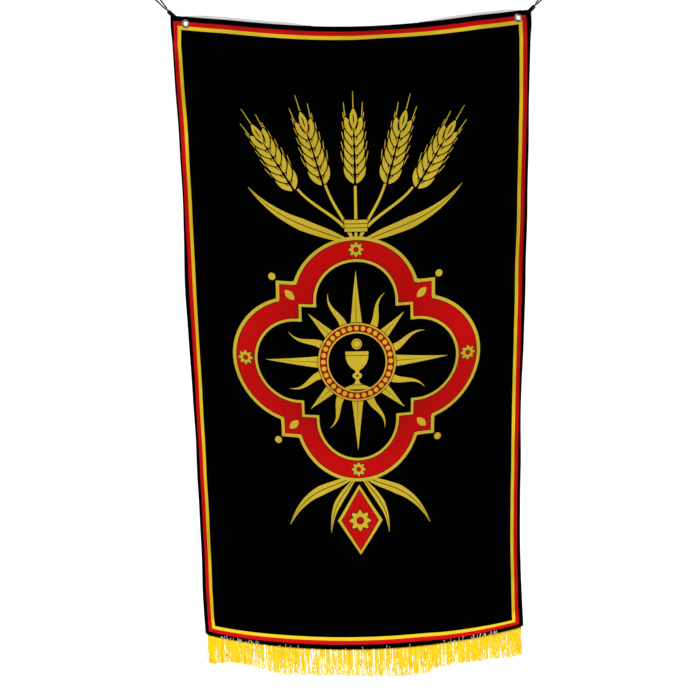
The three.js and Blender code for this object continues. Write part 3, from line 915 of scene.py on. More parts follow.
def middle_motif():
    """A red band of four lobes round a sun and a cup, wheat above and a pendant below."""
    shapes = []
    vein = [0.0009, 0.0014, 0.0014, 0.0012, 0.0004]
    fine_vein = [0.0009, 0.0013, 0.0013, 0.001, 0.0004]

    def put(ink, points, turn=0.0, mirror=False):
        shapes.append((ink, moved(points, turn=turn, mirror=mirror)))

    def leaf(spine, widths, vein_widths):
        put("gold", blade(spine, widths), mirror=mirror)
        put("black", blade(spine, vein_widths), mirror=mirror)

    for mirror in (False, True):
        spine = [(0.006, 0.205), (0.06, 0.232), (0.125, 0.232), (0.182, 0.292)]
        leaf(spine, [0.005, 0.0165, 0.0205, 0.012, 0.001], vein)
        for across, rise, turn in ((0.098, 0.283, -33), (0.051, 0.292, -16)):
            spine = [(0.004, 0.207), (0.018, 0.25), (across * 0.72, 0.262), (across, rise + 0.012)]
            put("gold", blade(spine, [0.0042, 0.0048, 0.0045, 0.004]), mirror=mirror)
            wheat_ear(shapes, across, rise, turn, mirror)
    put("gold", blade([(0, 0.2), (0, 0.24), (0, 0.26), (0, 0.302)], [0.0052, 0.0046]))
    wheat_ear(shapes, 0.0, 0.294, 0)
    for ink, wide, low, high in (
        ("black", 0.0205, 0.224, 0.2465),
        ("gold", 0.0192, 0.2254, 0.2451),
        ("black", 0.0186, 0.2312, 0.2324),
        ("black", 0.0188, 0.238, 0.2392),
    ):
        put(ink, [(-wide, low), (wide, low), (wide + 0.001, high), (-wide - 0.001, high)])

    for mirror in (False, True):
        spine = [(0.004, -0.205), (0.05, -0.232), (0.095, -0.225), (0.128, -0.3)]
        leaf(spine, [0.004, 0.014, 0.0175, 0.011, 0.001], vein)
        spine = [(0.006, -0.21), (0.036, -0.25), (0.05, -0.262), (0.053, -0.312)]
        leaf(spine, [0.004, 0.0115, 0.0125, 0.007, 0.001], fine_vein)
    middle = -0.289
    for ink, inset in (("gold", 0.0), ("black", 0.0055), ("red", 0.0067)):
        tall, wide = 0.066 - inset * 1.45, 0.041 - inset * 1.2
        put(ink, [(0, middle - tall), (wide, middle), (0, middle + tall), (-wide, middle)])
    rosette(shapes, 0.0, middle, 0.0205, 8, "gold", "red")

    for ink, inset in (
        ("gold", 0.0), ("black", 0.0058), ("red", 0.007), ("black", 0.037), ("gold", 0.0382),
        ("black", 0.0428),
    ):
        put(ink, barbed_quatrefoil(inset))
    for n in range(4):
        turn = 90 * n
        x, y = moved([(0, 0.195)], turn=turn)[0]
        rosette(shapes, x, y, 0.0132, 8, "gold", "red")
        put("gold", ring_points(0.0062, 18, 0, 0.2045), turn + 45)
        put("gold", moved(vesica(0.0225, 0.0125), 0, 0.151), turn + 45)
    for n in range(16):
        turn = 22.5 * n
        if n % 2 == 0:
            reach = 0.16 if n % 4 == 0 else 0.119
            put("gold", [(-0.0112, 0.055), (0.0112, 0.055), (0, reach)], turn)
            put("black", [(-0.0006, 0.06), (0.0006, 0.06), (0, reach - 0.012)], turn)
        else:
            flame = [(0.0, 0.055), (0.0145, 0.083), (-0.0155, 0.1), (0.001, 0.129)]
            put("gold", blade(flame, [0.016, 0.0125, 0.0085, 0.0045, 0.0004]), turn)
    for ink, radius in (
        ("black", 0.0695), ("gold", 0.0683), ("red", 0.0655), ("gold", 0.0528), ("black", 0.0502),
    ):
        put(ink, ring_points(radius, 84))
    for n in range(32):
        put("gold", ring_points(0.0042, 12, 0, 0.0592), 360 * n / 32)
    put("gold", moved(chalice_outline(), 0, -0.0015))
    for y, wide in ((0.0128, 0.0208), (-0.0383, 0.0142)):
        low, high = y - 0.0018, y - 0.0008
        put("black", [(-wide, low), (wide, low), (wide, high), (-wide, high)])
    put("black", ring_points(0.0021, 12, 0, -0.0237))
    for ink, radius in (("gold", 0.0092), ("black", 0.0071), ("gold", 0.0061)):
        put(ink, ring_points(radius, 28, 0, 0.0315))
    return [(ink, [(x, MOTIF_DOWN - y) for x, y in points]) for ink, points in shapes]


def frame_outline(inset):
    half = FLAT_WIDTH / 2 - inset
    low = FLAT_LENGTH - inset
    return [(-half, inset), (half, inset), (half, low), (-half, low)]


def stripe_outline(settings, level):
    """The border's line outside the red (0), between red and gold (1) or inside the gold (2)."""
    half = FLAT_WIDTH / 2
    span = sum((settings.red_stripe, settings.gold_stripe)[:level])

    def inset(side, place):
        places, extra, stretch = zip(*BORDER[side])
        wider = float(smooth_at(places, extra, place))
        return settings.black_stripe + wider + span * float(smooth_at(places, stretch, place))

    def point(across, down, x, y):
        x_there = -half + inset("left", y) if across == "left" else half - inset("right", y)
        y_there = inset("top", x) if down == "top" else FLAT_LENGTH - inset("bottom", x)
        return x_there, y_there

    corners = []
    for across, down in (("left", "top"), ("right", "top"), ("right", "bottom"), ("left", "bottom")):
        x, y = (-half if across == "left" else half), (0.0 if down == "top" else FLAT_LENGTH)
        for _ in range(6):
            x, y = point(across, down, x, y)
        corners.append((x, y))
    outline = []
    sides = ("top", "right", "bottom", "left")
    for side, (ax, ay), (bx, by) in zip(sides, corners, corners[1:] + corners[:1]):
        count = round(math.hypot(bx - ax, by - ay) / 0.01)
        for n in range(count):
            x, y = ax + (bx - ax) * n / count, ay + (by - ay) * n / count
            if side in ("top", "bottom"):
                y = point("left", side, x, y)[1]
            else:
                x = point(side, "top", x, y)[0]
            outline.append((x, y))
    return outline


def closely(points, pitch, closed=True):
    """The outline with its long sides cut so that no step is longer than the pitch."""
    cut = []
    ends = points[1:] + points[:1] if closed else points[1:]
    for (ax, ay), (bx, by) in zip(points, ends):
        count = max(1, math.ceil(math.hypot(bx - ax, by - ay) / pitch - 1e-6))
        cut += [(ax + (bx - ax) * n / count, ay + (by - ay) * n / count) for n in range(count)]
    return cut if closed else [*cut, points[-1]]


def inside_outline(x, y, outline):
    """Which of the points lie inside a closed outline."""
    xs, ys = np.array(outline).T
    inside = np.zeros(len(x), bool)
    near = (x >= xs.min()) & (x <= xs.max()) & (y >= ys.min()) & (y <= ys.max())
    if not near.any():
        return inside
    px, py = x[near], y[near]
    hit = np.zeros(len(px), bool)
    for ax, ay, bx, by in zip(xs, ys, np.roll(xs, -1), np.roll(ys, -1)):
        if ay == by:
            continue
        crosses = (ay > py) != (by > py)
        hit ^= crosses & (px < (bx - ax) * (py - ay) / (by - ay) + ax)
    inside[near] = hit
    return inside


def cut_cloth(settings):
    """Cuts the flat cloth into small triangles along the print, the hems and the eyelet holes."""
    pitch = settings.grid
    shapes = [("black", frame_outline(0.0))]
    for level, ink in enumerate(("red stripe", "gold stripe", "black")):
        shapes.append((ink, stripe_outline(settings, level)))
    shapes += middle_motif()
    centres = [(EYELET_ACROSS[side], EYELET_DOWN) for side in ("left", "right")]
    holes = [ring_points(CLOTH_HOLE, 28, x, y) for x, y in centres]
    fine = pitch * 0.8
    outlines = [closely(points, fine) for ink, points in shapes]
    for inset in (settings.hem, settings.hem + 0.0008):
        outlines.append(closely(frame_outline(inset), fine))
    outlines += [ring_points(EYELET_PRESS, 32, x, y) for x, y in centres]
    outlines += holes
    lines = []
    for out in (0.0015, 0.003, 0.0045, 0.006, ROLL_WIDTH):
        for sign in (-1, 1):
            x = sign * (FLAT_WIDTH / 2 - out)
            lines.append(closely([(x, 0.0), (x, FLAT_LENGTH)], fine, closed=False))
    verts, edges = [], []
    for points, closed in [(o, True) for o in outlines] + [(o, False) for o in lines]:
        first = len(verts)
        verts += points
        last = len(verts) - 1
        edges += [(n, n + 1) for n in range(first, last)]
        if closed:
            edges.append((last, first))
    tree_points = []
    for points in outlines:
        tree_points += closely(points, 0.0015)
    for points in lines:
        tree_points += closely(points, 0.0015, closed=False)
    tree = KDTree(len(tree_points))
    for n, (x, y) in enumerate(tree_points):
        tree.insert((x, y, 0.0), n)
    tree.balance()
    columns = round(FLAT_WIDTH / pitch)
    rows = round(FLAT_LENGTH / pitch)
    for j in range(1, rows):
        for i in range(1, columns):
            x = -FLAT_WIDTH / 2 + FLAT_WIDTH * (i + 0.25 * (-1) ** j) / columns
            y = FLAT_LENGTH * j / rows
            if tree.find((x, y, 0.0))[2] > pitch * 0.33:
                verts.append((x, y))
    found = delaunay_2d_cdt([Vector(v) for v in verts], edges, [], 0, 1e-7, False)
    places = np.array([tuple(v) for v in found[0]])
    triangles = np.array([f for f in found[2]])
    corners = places[triangles]
    spans = corners[:, 1] - corners[:, 0], corners[:, 2] - corners[:, 0]
    area = spans[0][:, 0] * spans[1][:, 1] - spans[0][:, 1] * spans[1][:, 0]
    triangles = triangles[np.abs(area) > 1e-13]
    area = area[np.abs(area) > 1e-13]
    triangles[area > 0] = triangles[area > 0][:, ::-1]
    middle = places[triangles].mean(axis=1)
    inks = np.full(len(triangles), "black", dtype="<U12")
    for ink, points in shapes:
        inks[inside_outline(middle[:, 0], middle[:, 1], points)] = ink
    keep = np.ones(len(triangles), bool)
    for hole in holes:
        keep &= ~inside_outline(middle[:, 0], middle[:, 1], hole)
    return places, triangles[keep], inks[keep]


def hem_rise(across):
    """How far the pale fold of the top hem stands above the printed edge."""
    left = smooth_step(across, -0.284, -0.244) * (1 - smooth_step(across, -0.11, -0.06))
    right = smooth_step(across, 0.1, 0.17) * (1 - smooth_step(across, 0.256, 0.288))
    return HEM_RISE * (left + right) + HEM_FLAT


# Operators


class BANNER_OT_place_stage(bpy.types.Operator):
    """Sets the camera, the floor that sweeps up into a wall, and the soft lights"""

    bl_idname = "banner.place_stage"
    bl_label = "Place the stage"

    def execute(self, context):
        settings = context.scene.banner_stage
        yaw, pitch, roll = (math.radians(a) for a in (CAMERA_YAW, CAMERA_PITCH, CAMERA_ROLL))
        ahead = Vector(
            (math.sin(yaw) * math.cos(pitch), math.cos(yaw) * math.cos(pitch), -math.sin(pitch))
        )
        level = Vector((math.cos(yaw), -math.sin(yaw), 0))
        over = level.cross(ahead)
        right = level * math.cos(roll) + over * math.sin(roll)
        up = over * math.cos(roll) - level * math.sin(roll)
        lens = bpy.data.cameras.new("banner_camera")
        lens.sensor_width = CAMERA_SENSOR
        lens.lens = CAMERA_LENS
        lens.clip_start = 0.05
        camera = bpy.data.objects.new("banner_camera", lens)
        context.scene.collection.objects.link(camera)
        turn = Matrix((right, up, -ahead)).transposed().to_4x4()
        camera.matrix_world = Matrix.Translation(CAMERA_PLACE) @ turn
        context.scene.camera = camera

        deselect()
        bpy.ops.mesh.primitive_plane_add(size=1, location=(0, 0, settings.floor_height))
        floor = context.object
        floor.name = "studio_floor"
        bpy.ops.object.mode_set(mode="EDIT")
        bpy.ops.mesh.select_all(action="SELECT")
        bpy.ops.transform.resize(value=(8, 6.4, 1))
        bpy.ops.mesh.select_all(action="DESELECT")
        mesh = bmesh.from_edit_mesh(floor.data)
        for edge in mesh.edges:
            edge.select_set(all(v.co.y > 0.1 for v in edge.verts))
        bmesh.update_edit_mesh(floor.data)
        bpy.ops.mesh.extrude_region_move(TRANSFORM_OT_translate={"value": (0, 0, 4.2)})
        bpy.ops.mesh.select_all(action="DESELECT")
        mesh = bmesh.from_edit_mesh(floor.data)
        for edge in mesh.edges:
            edge.select_set(len(edge.link_faces) == 2)
        bmesh.update_edit_mesh(floor.data)
        bpy.ops.mesh.bevel(offset=1.1, segments=16, affect="EDGES")
        bpy.ops.object.mode_set(mode="OBJECT")
        bpy.ops.object.transform_apply(location=True, rotation=True, scale=True)
        floor.data.materials.append(pale_stage_material("pale_floor"))
        bpy.ops.object.shade_smooth()

        key = bpy.data.lights.new("key_light", "SUN")
        key.energy = settings.key_strength
        key.angle = math.radians(22)
        fill = bpy.data.lights.new("fill_light", "AREA")
        fill.shape = "SQUARE"
        fill.size = 1.8
        fill.energy = settings.fill_power
        for lamp, place, target in (
            (key, (-0.65, -1.5, 1.6), (0, 0, -0.6)),
            (fill, (1.3, -2.0, -1.3), (0, 0, -0.7)),
        ):
            lamp_object = bpy.data.objects.new(lamp.name, lamp)
            context.scene.collection.objects.link(lamp_object)
            lamp_object.location = place
            facing = Vector(target) - Vector(place)
            lamp_object.rotation_euler = facing.to_track_quat("-Z", "Y").to_euler()

        world = bpy.data.worlds.new("soft_surround")
        world.use_nodes = True
        background = world.node_tree.nodes["Background"]
        background.inputs["Color"].default_value = (1, 1, 1, 1)
        background.inputs["Strength"].default_value = settings.sky
        context.scene.world = world
        context.scene.view_settings.view_transform = "Standard"
        return {"FINISHED"}


def tab_frame(side):
    outward = -1 if side == "left" else 1
    corner = front_points([outward * FLAT_WIDTH / 2], [0.0])[0]
    turn = Matrix.Rotation(outward * math.radians(90 - TAB_RISE), 4, "Y")
    return Matrix.Translation((corner[0], TIE_DEPTH, corner[2])) @ turn


def tie_frame(side):
    outward = -1 if side == "left" else 1
    seat = TAB_SEAT[side]
    at = Matrix.Translation((-outward * seat["shift"], 0, seat["out"] - TAB_HOLE_BACK))
    return tab_frame(side) @ at @ Matrix.Rotation(-outward * math.radians(seat["lean"]), 4, "Y")


class BANNER_OT_tie_cords(bpy.types.Operator):
    """Makes each corner's cord loop and the knot that binds it"""

    bl_idname = "banner.tie_cords"
    bl_label = "Tie the cords"

    def execute(self, context):
        settings = context.scene.banner_ties
        colour = tuple(settings.colour)
        cord = yarn_material(
            "black_cord", shade(colour, 0.5), shade(colour, 3.0), 0.0036, 0.7, 0.02, 0.5
        )
        # painted highlight: the knot's cord is paler than the loop's cord
        knotted = yarn_material(
            "knot_painted_highlight", shade(colour, 1.2), shade(colour, 7.0), 0.0036, 0.7, 0.03, 0.5
        )
        radius = settings.cord_radius
        for side in ("left", "right"):
            inward = 1 if side == "left" else -1
            place = tie_frame(side)
            base = KNOT_START + KNOT_LENGTH + GAP
            route = [place @ Vector((inward * s, 0, base + out)) for s, out in TIE_ROUTE]
            line = smooth_line(route, 0.0005)
            strands = Strands()
            strands.add(line, radius, 12, 0.35, lobes=3, lobe_depth=0.09, pitch=0.0045)
            loop = strands.piece(f"tie_loop_{side}", cord)
            finish_piece(loop, "cord", f"tie_cord_{side}")

            knot = Strands()
            bend = radius + GAP + 0.00005
            legs = TAB_THICKNESS / 2 + bend
            web = TAB_HOLE_RADIUS
            outer = [(0.0006, 0.0008), (0.0014, 0.0002), (0.0019, -0.00035), (0.0022, -0.0009)]
            turn = [(-y, KNOT_START + z) for y, z in outer] + [(-legs, 0.0028), (-legs, web)]
            for n in range(1, 6):
                a = math.pi + math.pi / 2 * n / 6
                turn.append((-TAB_THICKNESS / 2 + bend * math.cos(a), web + bend * math.sin(a)))
            turn.append((0, web - bend))
            for n in range(1, 6):
                a = 1.5 * math.pi + math.pi / 2 * n / 6
                turn.append((TAB_THICKNESS / 2 + bend * math.cos(a), web + bend * math.sin(a)))
            turn += [(legs, web), (legs, 0.0028)]
            turn += [(y, KNOT_START + z) for y, z in reversed(outer)]
            line = [place @ Vector((0, y, z)) for y, z in turn]
            knot.add(smooth_line(line, 0.0004), radius * 0.97, 10, 0.3, 3, 0.09, 0.0045)
            bound = []
            for n in range(49):
                a = 2 * math.pi * 2.25 * n / 48
                reach = 0.00108 + 0.0001 * math.sin(a * 1.7)
                z = KNOT_START + 0.0005 + (KNOT_LENGTH - 0.001) * n / 48
                bound.append(place @ Vector((reach * math.cos(a), 0.85 * reach * math.sin(a), z)))
            knot.add(bound, radius * 0.5, 10, 0.6, 3, 0.09, 0.0035)
            core = [place @ Vector((0, 0, KNOT_START + KNOT_LENGTH * n / 8)) for n in range(9)]
            knot.add(core, lambda t: 0.001 + 0.0003 * math.sin(math.pi * t), 12, 0.45, 3, 0.12, 0.005)
            tied = knot.piece(f"tie_binding_{side}", knotted)
            finish_piece(tied, "cord", f"tie_knot_{side}")
        return {"FINISHED"}


class BANNER_OT_hang_cloth(bpy.types.Operator):
    """Cuts, prints and hangs the cloth with its turned hems"""

    bl_idname = "banner.hang_cloth"
    bl_label = "Hang the cloth"

    def execute(self, context):
        settings = context.scene.banner_cloth
        places, triangles, inks = cut_cloth(settings)
        across, down = places[:, 0], places[:, 1]
        half = FLAT_WIDTH / 2
        from_edge = np.minimum.reduce([half - np.abs(across), down, FLAT_LENGTH - down])
        thick = HEM_THICKNESS + (CLOTH_THICKNESS - HEM_THICKNESS) * np.clip(
            (from_edge - settings.hem) / 0.0008, 0, 1
        )
        front = front_points(across, down)
        normals = front_normals(across, down)
        for side in ("left", "right"):
            span_x, span_y = across - EYELET_ACROSS[side], down - EYELET_DOWN
            away = np.hypot(span_x, span_y)
            round_it = np.cos(9 * np.arctan2(span_y, span_x))
            pucker = PUCKER_DEPTH * round_it * np.exp(-(((away - 0.0088) / 0.0035) ** 2))
            front = front + normals * pucker[:, None]
        seam = SEAM_DEPTH * np.exp(-(((from_edge - SEAM_INSET) / 0.0011) ** 2))
        front = front - normals * seam[:, None]
        back = front - normals * thick[:, None]
        rolled = (down < 1e-6) & (hem_rise(across) > HEM_SHOWS)
        front[rolled, 2] += EDGE_ROUNDING
        count = len(places)

        border = open_sides(triangles)
        outward = np.zeros((count, 3))
        step = 0.0004
        probes = (
            (-1, 0, across < -half + 1e-6),
            (1, 0, across > half - 1e-6),
            (0, -1, down < 1e-6),
            (0, 1, down > FLAT_LENGTH - 1e-6),
        )
        for way_x, way_y, there in probes:
            inner = front_points(across[there] - way_x * step, down[there] - way_y * step)
            out = front_points(across[there], down[there]) - inner
            outward[there] += out / np.linalg.norm(out, axis=1, keepdims=True)
        size = np.linalg.norm(outward, axis=1, keepdims=True)
        outward = np.divide(outward, size, out=np.zeros_like(outward), where=size > 0)
        edge_points = sorted({p for pair in border for p in pair})
        rim_at = {p: 2 * count + n for n, p in enumerate(edge_points)}
        rim = (front[edge_points] + back[edge_points]) / 2 + outward[edge_points] * EDGE_ROUNDING
        on_top = down[edge_points] < 1e-6
        rim[on_top, 2] += hem_rise(across[edge_points][on_top])
        rim[on_top, 1] += 0.0003
        verts = np.concatenate([front, back, rim])
        rim_normals = outward[edge_points]
        bare = np.linalg.norm(rim_normals, axis=1) < 0.5
        rim_normals[bare] = normals[edge_points][bare]
        vert_normals = np.concatenate([normals, -normals, rim_normals])

        gold, red = tuple(settings.gold), tuple(settings.red)
        black = tuple(settings.black)
        finishes = {
            "black": printed_cloth("black_satin", black, 0.3, 0.55, 0.0),
            # the border stripes carry painted light: fold light and shade along them, brighter at the
            # bottom hem
            "red stripe": printed_cloth("red_stripe", red, gloss=0.05, low=True),
            "gold stripe": printed_cloth("gold_stripe", gold, gloss=0.05, low=True),
            "red": printed_cloth("red_field", shade(red, 0.54), 0.36, gloss=0.05, radial=0.21),
            "gold": printed_cloth("gold_line", (*shade(gold, 0.62)[:2], 0.028), 0.16, gloss=0.05),
            "back black": pale_cloth("black_reverse", (0.02, 0.02, 0.022)),
            "back red": pale_cloth("red_reverse", (0.5, 0.06, 0.05)),
            "back gold": pale_cloth("gold_reverse", (0.66, 0.5, 0.12)),
            "hem": pale_cloth("unprinted_hem", (0.56, 0.55, 0.53)),
        }
        names = list(finishes)
        behind = {"black": "back black", "red stripe": "back red", "red": "back red",
                  "gold stripe": "back gold", "gold": "back gold"}
        middle = places[triangles].mean(axis=1)
        inner = np.minimum.reduce(
            [half - np.abs(middle[:, 0]), middle[:, 1], FLAT_LENGTH - middle[:, 1]]
        )
        faces, slots = [], []
        for tri, ink in zip(triangles.tolist(), inks):
            faces.append(tuple(tri))
            slots.append(names.index(ink))
        for tri, ink, inset in zip(triangles.tolist(), inks, inner):
            faces.append(tuple(count + v for v in reversed(tri)))
            slots.append(names.index("hem" if inset < settings.hem + 0.0006 else behind[ink]))
        for a, b in border:
            faces += [(b, a, rim_at[a], rim_at[b]), (rim_at[b], rim_at[a], count + a, count + b)]
            on_heading = down[a] < 1e-6 and down[b] < 1e-6
            lifted = on_heading and hem_rise(across[a]) > HEM_SHOWS
            slots.append(names.index("hem" if lifted else "black"))
            slots.append(names.index("hem" if on_heading else "black"))
        cloth = new_piece("banner_cloth", verts, faces, finishes.values())
        cloth.data.polygons.foreach_set("material_index", slots)
        flat = np.zeros((len(verts), 3), np.float32)
        flat_two = np.concatenate([places, places, places[edge_points]])
        flat[:, :2] = flat_two
        cloth.data.attributes.new("flat", "FLOAT_VECTOR", "POINT")
        cloth.data.attributes["flat"].data.foreach_set("vector", flat.ravel())
        baked = cloth.data.uv_layers.new(name="OFBake")
        corner_verts = np.empty(len(cloth.data.loops), np.int64)
        cloth.data.loops.foreach_get("vertex_index", corner_verts)
        starts = np.array([p.loop_start for p in cloth.data.polygons])
        totals = np.array([p.loop_total for p in cloth.data.polygons])
        kind = np.repeat(
            np.array([0] * len(triangles) + [1] * len(triangles) + [2, 3] * len(border)), totals
        )
        at = flat_two[corner_verts]
        u = (at[:, 0] + half) / FLAT_WIDTH * 0.47 + 0.01
        v = at[:, 1] / FLAT_LENGTH * 0.87 + 0.01
        u = np.where(kind == 1, u + 0.5, u)
        strip = (kind >= 2)
        is_rim = corner_verts >= 2 * count
        offset = np.where(kind == 2, np.where(is_rim, 0.004, 0.0), np.where(is_rim, 0.006, 0.01))
        along = np.where(
            np.abs(at[:, 0]) > half - 1e-6, 0.5 + at[:, 1] / FLAT_LENGTH * 0.45,
            (at[:, 0] + half) / FLAT_WIDTH * 0.45,
        )
        lane = np.where(at[:, 0] > half - 1e-6, 0.03, 0.0)
        lane = lane + np.where(at[:, 1] > FLAT_LENGTH / 2, 0.045, 0.0)
        u = np.where(strip, 0.01 + along, u)
        v = np.where(strip, 0.9 + lane + offset, v)
        baked.data.foreach_set("uv", np.stack([u, v], axis=1).astype(np.float32).ravel())
        cloth.data.normals_split_custom_set_from_vertices([tuple(n) for n in vert_normals])
        finish_piece(cloth, "cloth", "heading", "banner_panel")
        return {"FINISHED"}


class BANNER_OT_stitch_hems(bpy.types.Operator):
    """Sews the row of stitches that holds the hems"""

    bl_idname = "banner.stitch_hems"
    bl_label = "Stitch the hems"

    def execute(self, context):
        verts, faces = [], []
        half = FLAT_WIDTH / 2 - SEAM_INSET
        high, low = SEAM_INSET, FLAT_LENGTH - SEAM_INSET
        rows = [
            ((-half, high), (half, high)),
            ((-half, low), (half, low)),
            ((-half, high), (-half, low)),
            ((half, high), (half, low)),
        ]
        for (ax, ay), (bx, by) in rows:
            row_length = math.hypot(bx - ax, by - ay)
            count = int(row_length / STITCH_PITCH)
            t = (np.arange(count) + 0.5) / count
            x, y = ax + (bx - ax) * t, ay + (by - ay) * t
            keep = np.ones(count, bool)
            for side in ("left", "right"):
                keep &= np.hypot(x - EYELET_ACROSS[side], y - EYELET_DOWN) > EYELET_FLANGE + 0.0012
            x, y = x[keep], y[keep]
            along_x = (bx - ax) / row_length * STITCH_LENGTH / 2
            along_y = (by - ay) / row_length * STITCH_LENGTH / 2
            start = front_points(x - along_x, y - along_y)
            end = front_points(x + along_x, y + along_y)
            normal = front_normals(x, y)
            for face_depth, out in ((0.0001, 1), (HEM_THICKNESS + 0.0002, -1)):
                for a, b, n in zip(start, end, normal):
                    a, b = a - n * face_depth, b - n * face_depth
                    ahead = (b - a) / np.linalg.norm(b - a)
                    wide = np.cross(n, ahead) * STITCH_HALF_WIDTH
                    lift = n * out
                    first = len(verts)
                    verts.append(a - lift * 0.0001)
                    for t_at in (0.22, 0.78):
                        c = a + (b - a) * t_at
                        verts += [c + wide + lift * 0.00003, c + lift * 0.00027,
                                  c - wide + lift * 0.00003, c - lift * 0.00012]
                    verts.append(b - lift * 0.0001)
                    ring_a = [first + k for k in (1, 2, 3, 4)]
                    ring_b = [first + k for k in (5, 6, 7, 8)]
                    if out < 0:
                        ring_a, ring_b = ring_a[::-1], ring_b[::-1]
                    for k in range(4):
                        m = (k + 1) % 4
                        faces.append((first, ring_a[m], ring_a[k]))
                        faces.append((ring_a[k], ring_a[m], ring_b[m], ring_b[k]))
                        faces.append((first + 9, ring_b[k], ring_b[m]))
        thread = ribbon_material("black_thread", (0.01, 0.009, 0.009))
        stitches = new_piece("hem_stitches", verts, faces, [thread])
        face_outwards(stitches)
        finish_piece(stitches, "cloth")
        return {"FINISHED"}


class BANNER_OT_set_eyelets(bpy.types.Operator):
    """Turns each eyelet: a rolled flange, a barrel and a washer behind"""

    bl_idname = "banner.set_eyelets"
    bl_label = "Set the eyelets"

    def execute(self, context):
        settings = context.scene.banner_eyelets
        nickel = nickel_material("nickel_plate", tuple(settings.metal))
        back = HEM_THICKNESS + GAP
        section = [
            (EYELET_BORE, back + 0.0006), (0.0042, back + 0.0009), (0.0052, back + 0.0008),
            (0.0060, back + 0.0005), (EYELET_FLANGE, back + 0.0002), (0.0062, back),
            (EYELET_BARREL, back), (EYELET_BARREL, -0.0003), (0.0061, -0.0002),
            (EYELET_FLANGE, -0.0004), (0.00625, -0.0008), (0.0057, -0.0012), (0.0051, -0.0014),
            (0.0044, -0.0014), (0.0038, -0.0011), (EYELET_BORE, -0.0005), (0.00335, 0.0009),
        ]
        for side in ("left", "right"):
            centre = Vector(front_points([EYELET_ACROSS[side]], [EYELET_DOWN])[0])
            deselect()
            bpy.ops.mesh.primitive_circle_add(vertices=len(section), radius=0.001)
            ring = context.object
            ring.name = f"nickel_eyelet_{side}"
            ring.location = (0, 0, 0)
            bpy.ops.object.mode_set(mode="EDIT")
            mesh = bmesh.from_edit_mesh(ring.data)
            mesh.verts.ensure_lookup_table()
            for vert, (radius, depth) in zip(mesh.verts, section):
                vert.co = centre + Vector((radius, depth, 0))
            bmesh.update_edit_mesh(ring.data)
            bpy.ops.mesh.select_all(action="SELECT")
            bpy.ops.mesh.spin(
                steps=56, angle=2 * math.pi, center=tuple(centre), axis=(0, 1, 0), dupli=False
            )
            bpy.ops.mesh.select_all(action="SELECT")
            bpy.ops.mesh.remove_doubles(threshold=0.00002)
            bpy.ops.mesh.normals_make_consistent(inside=False)
            bpy.ops.object.mode_set(mode="OBJECT")
            bpy.ops.object.shade_smooth_by_angle(angle=math.radians(40))
            ring.data.materials.append(nickel)
            finish_piece(ring, "nickel", f"eyelet_{side}")
        return {"FINISHED"}


class BANNER_OT_sew_tabs(bpy.types.Operator):
    """Cuts each ribbon tab, with its hole, and sews it behind the corner"""

    bl_idname = "banner.sew_tabs"
    bl_label = "Sew the ribbon tabs"

    def execute(self, context):
        ribbon = ribbon_material("black_ribbon", tuple(context.scene.banner_ties.colour))
        half = TAB_WIDTH / 2
        for side in ("left", "right"):
            seat = TAB_SEAT[side]
            outward = -1 if side == "left" else 1
            length = TAB_ROOT + seat["out"]
            place = tab_frame(side) @ Matrix.Translation((-outward * seat["shift"], 0, seat["out"]))
            rows = 26
            profile = []
            for n in range(rows + 1):
                z = -length + length * n / rows
                near_tip = max(0.0, 1 + z / 0.0018)
                width = half - 0.0003 * (z / length + 1) - 0.0011 * near_tip**2
                profile.append((width, z))
            hole = (0.0, -TAB_HOLE_BACK)
            outline = [(w, z) for w, z in profile] + [(-w, z) for w, z in reversed(profile)]
            rim = ring_points(TAB_HOLE_CLOSED, 20, *hole)
            verts2, edges = [], []
            for points in (outline, rim, ring_points(TAB_HOLE_RADIUS * 1.2, 20, *hole)):
                first = len(verts2)
                verts2 += points
                edges += [(first + n, first + (n + 1) % len(points)) for n in range(len(points))]
            for n in range(1, rows):
                for k in (-2, -1, 0, 1, 2):
                    x, z = k * half * 0.3, -length + length * n / rows
                    if z < -0.0006 and math.hypot(x - hole[0], z - hole[1]) > TAB_HOLE_RADIUS * 1.6:
                        verts2.append((x, z))
            found = delaunay_2d_cdt([Vector(v) for v in verts2], edges, [], 0, 1e-7, False)
            flat = np.array([tuple(v) for v in found[0]])
            tris = np.array([f for f in found[2]])
            mid = flat[tris].mean(axis=1)
            keep = inside_outline(mid[:, 0], mid[:, 1], outline)
            keep &= ~inside_outline(mid[:, 0], mid[:, 1], rim)
            tris = tris[keep]
            curl = 0.00012 * np.sin(flat[:, 1] / 0.0042) + 6.0 * flat[:, 0] ** 2
            edge_close = np.clip((half - np.abs(flat[:, 0])) / 0.0008, 0.0, 1.0)
            body = TAB_THICKNESS / 2 - 0.0002 - 0.0002 * (1 - edge_close) ** 2
            near = [place @ Vector((x, c - b, z)) for (x, z), c, b in zip(flat, curl, body)]
            far = [place @ Vector((x, c + b, z)) for (x, z), c, b in zip(flat, curl, body)]
            count = len(flat)
            faces = [tuple(t) for t in tris.tolist()]
            faces += [tuple(count + v for v in reversed(t)) for t in tris.tolist()]
            faces += [(b, a, count + a, count + b) for a, b in open_sides(tris)]
            tab = new_piece(f"ribbon_tab_{side}", near + far, faces, [ribbon])
            face_outwards(tab)
            bpy.ops.object.shade_smooth_by_angle(angle=math.radians(50))
            finish_piece(tab, "ribbon", f"corner_tab_{side}")
        return {"FINISHED"}


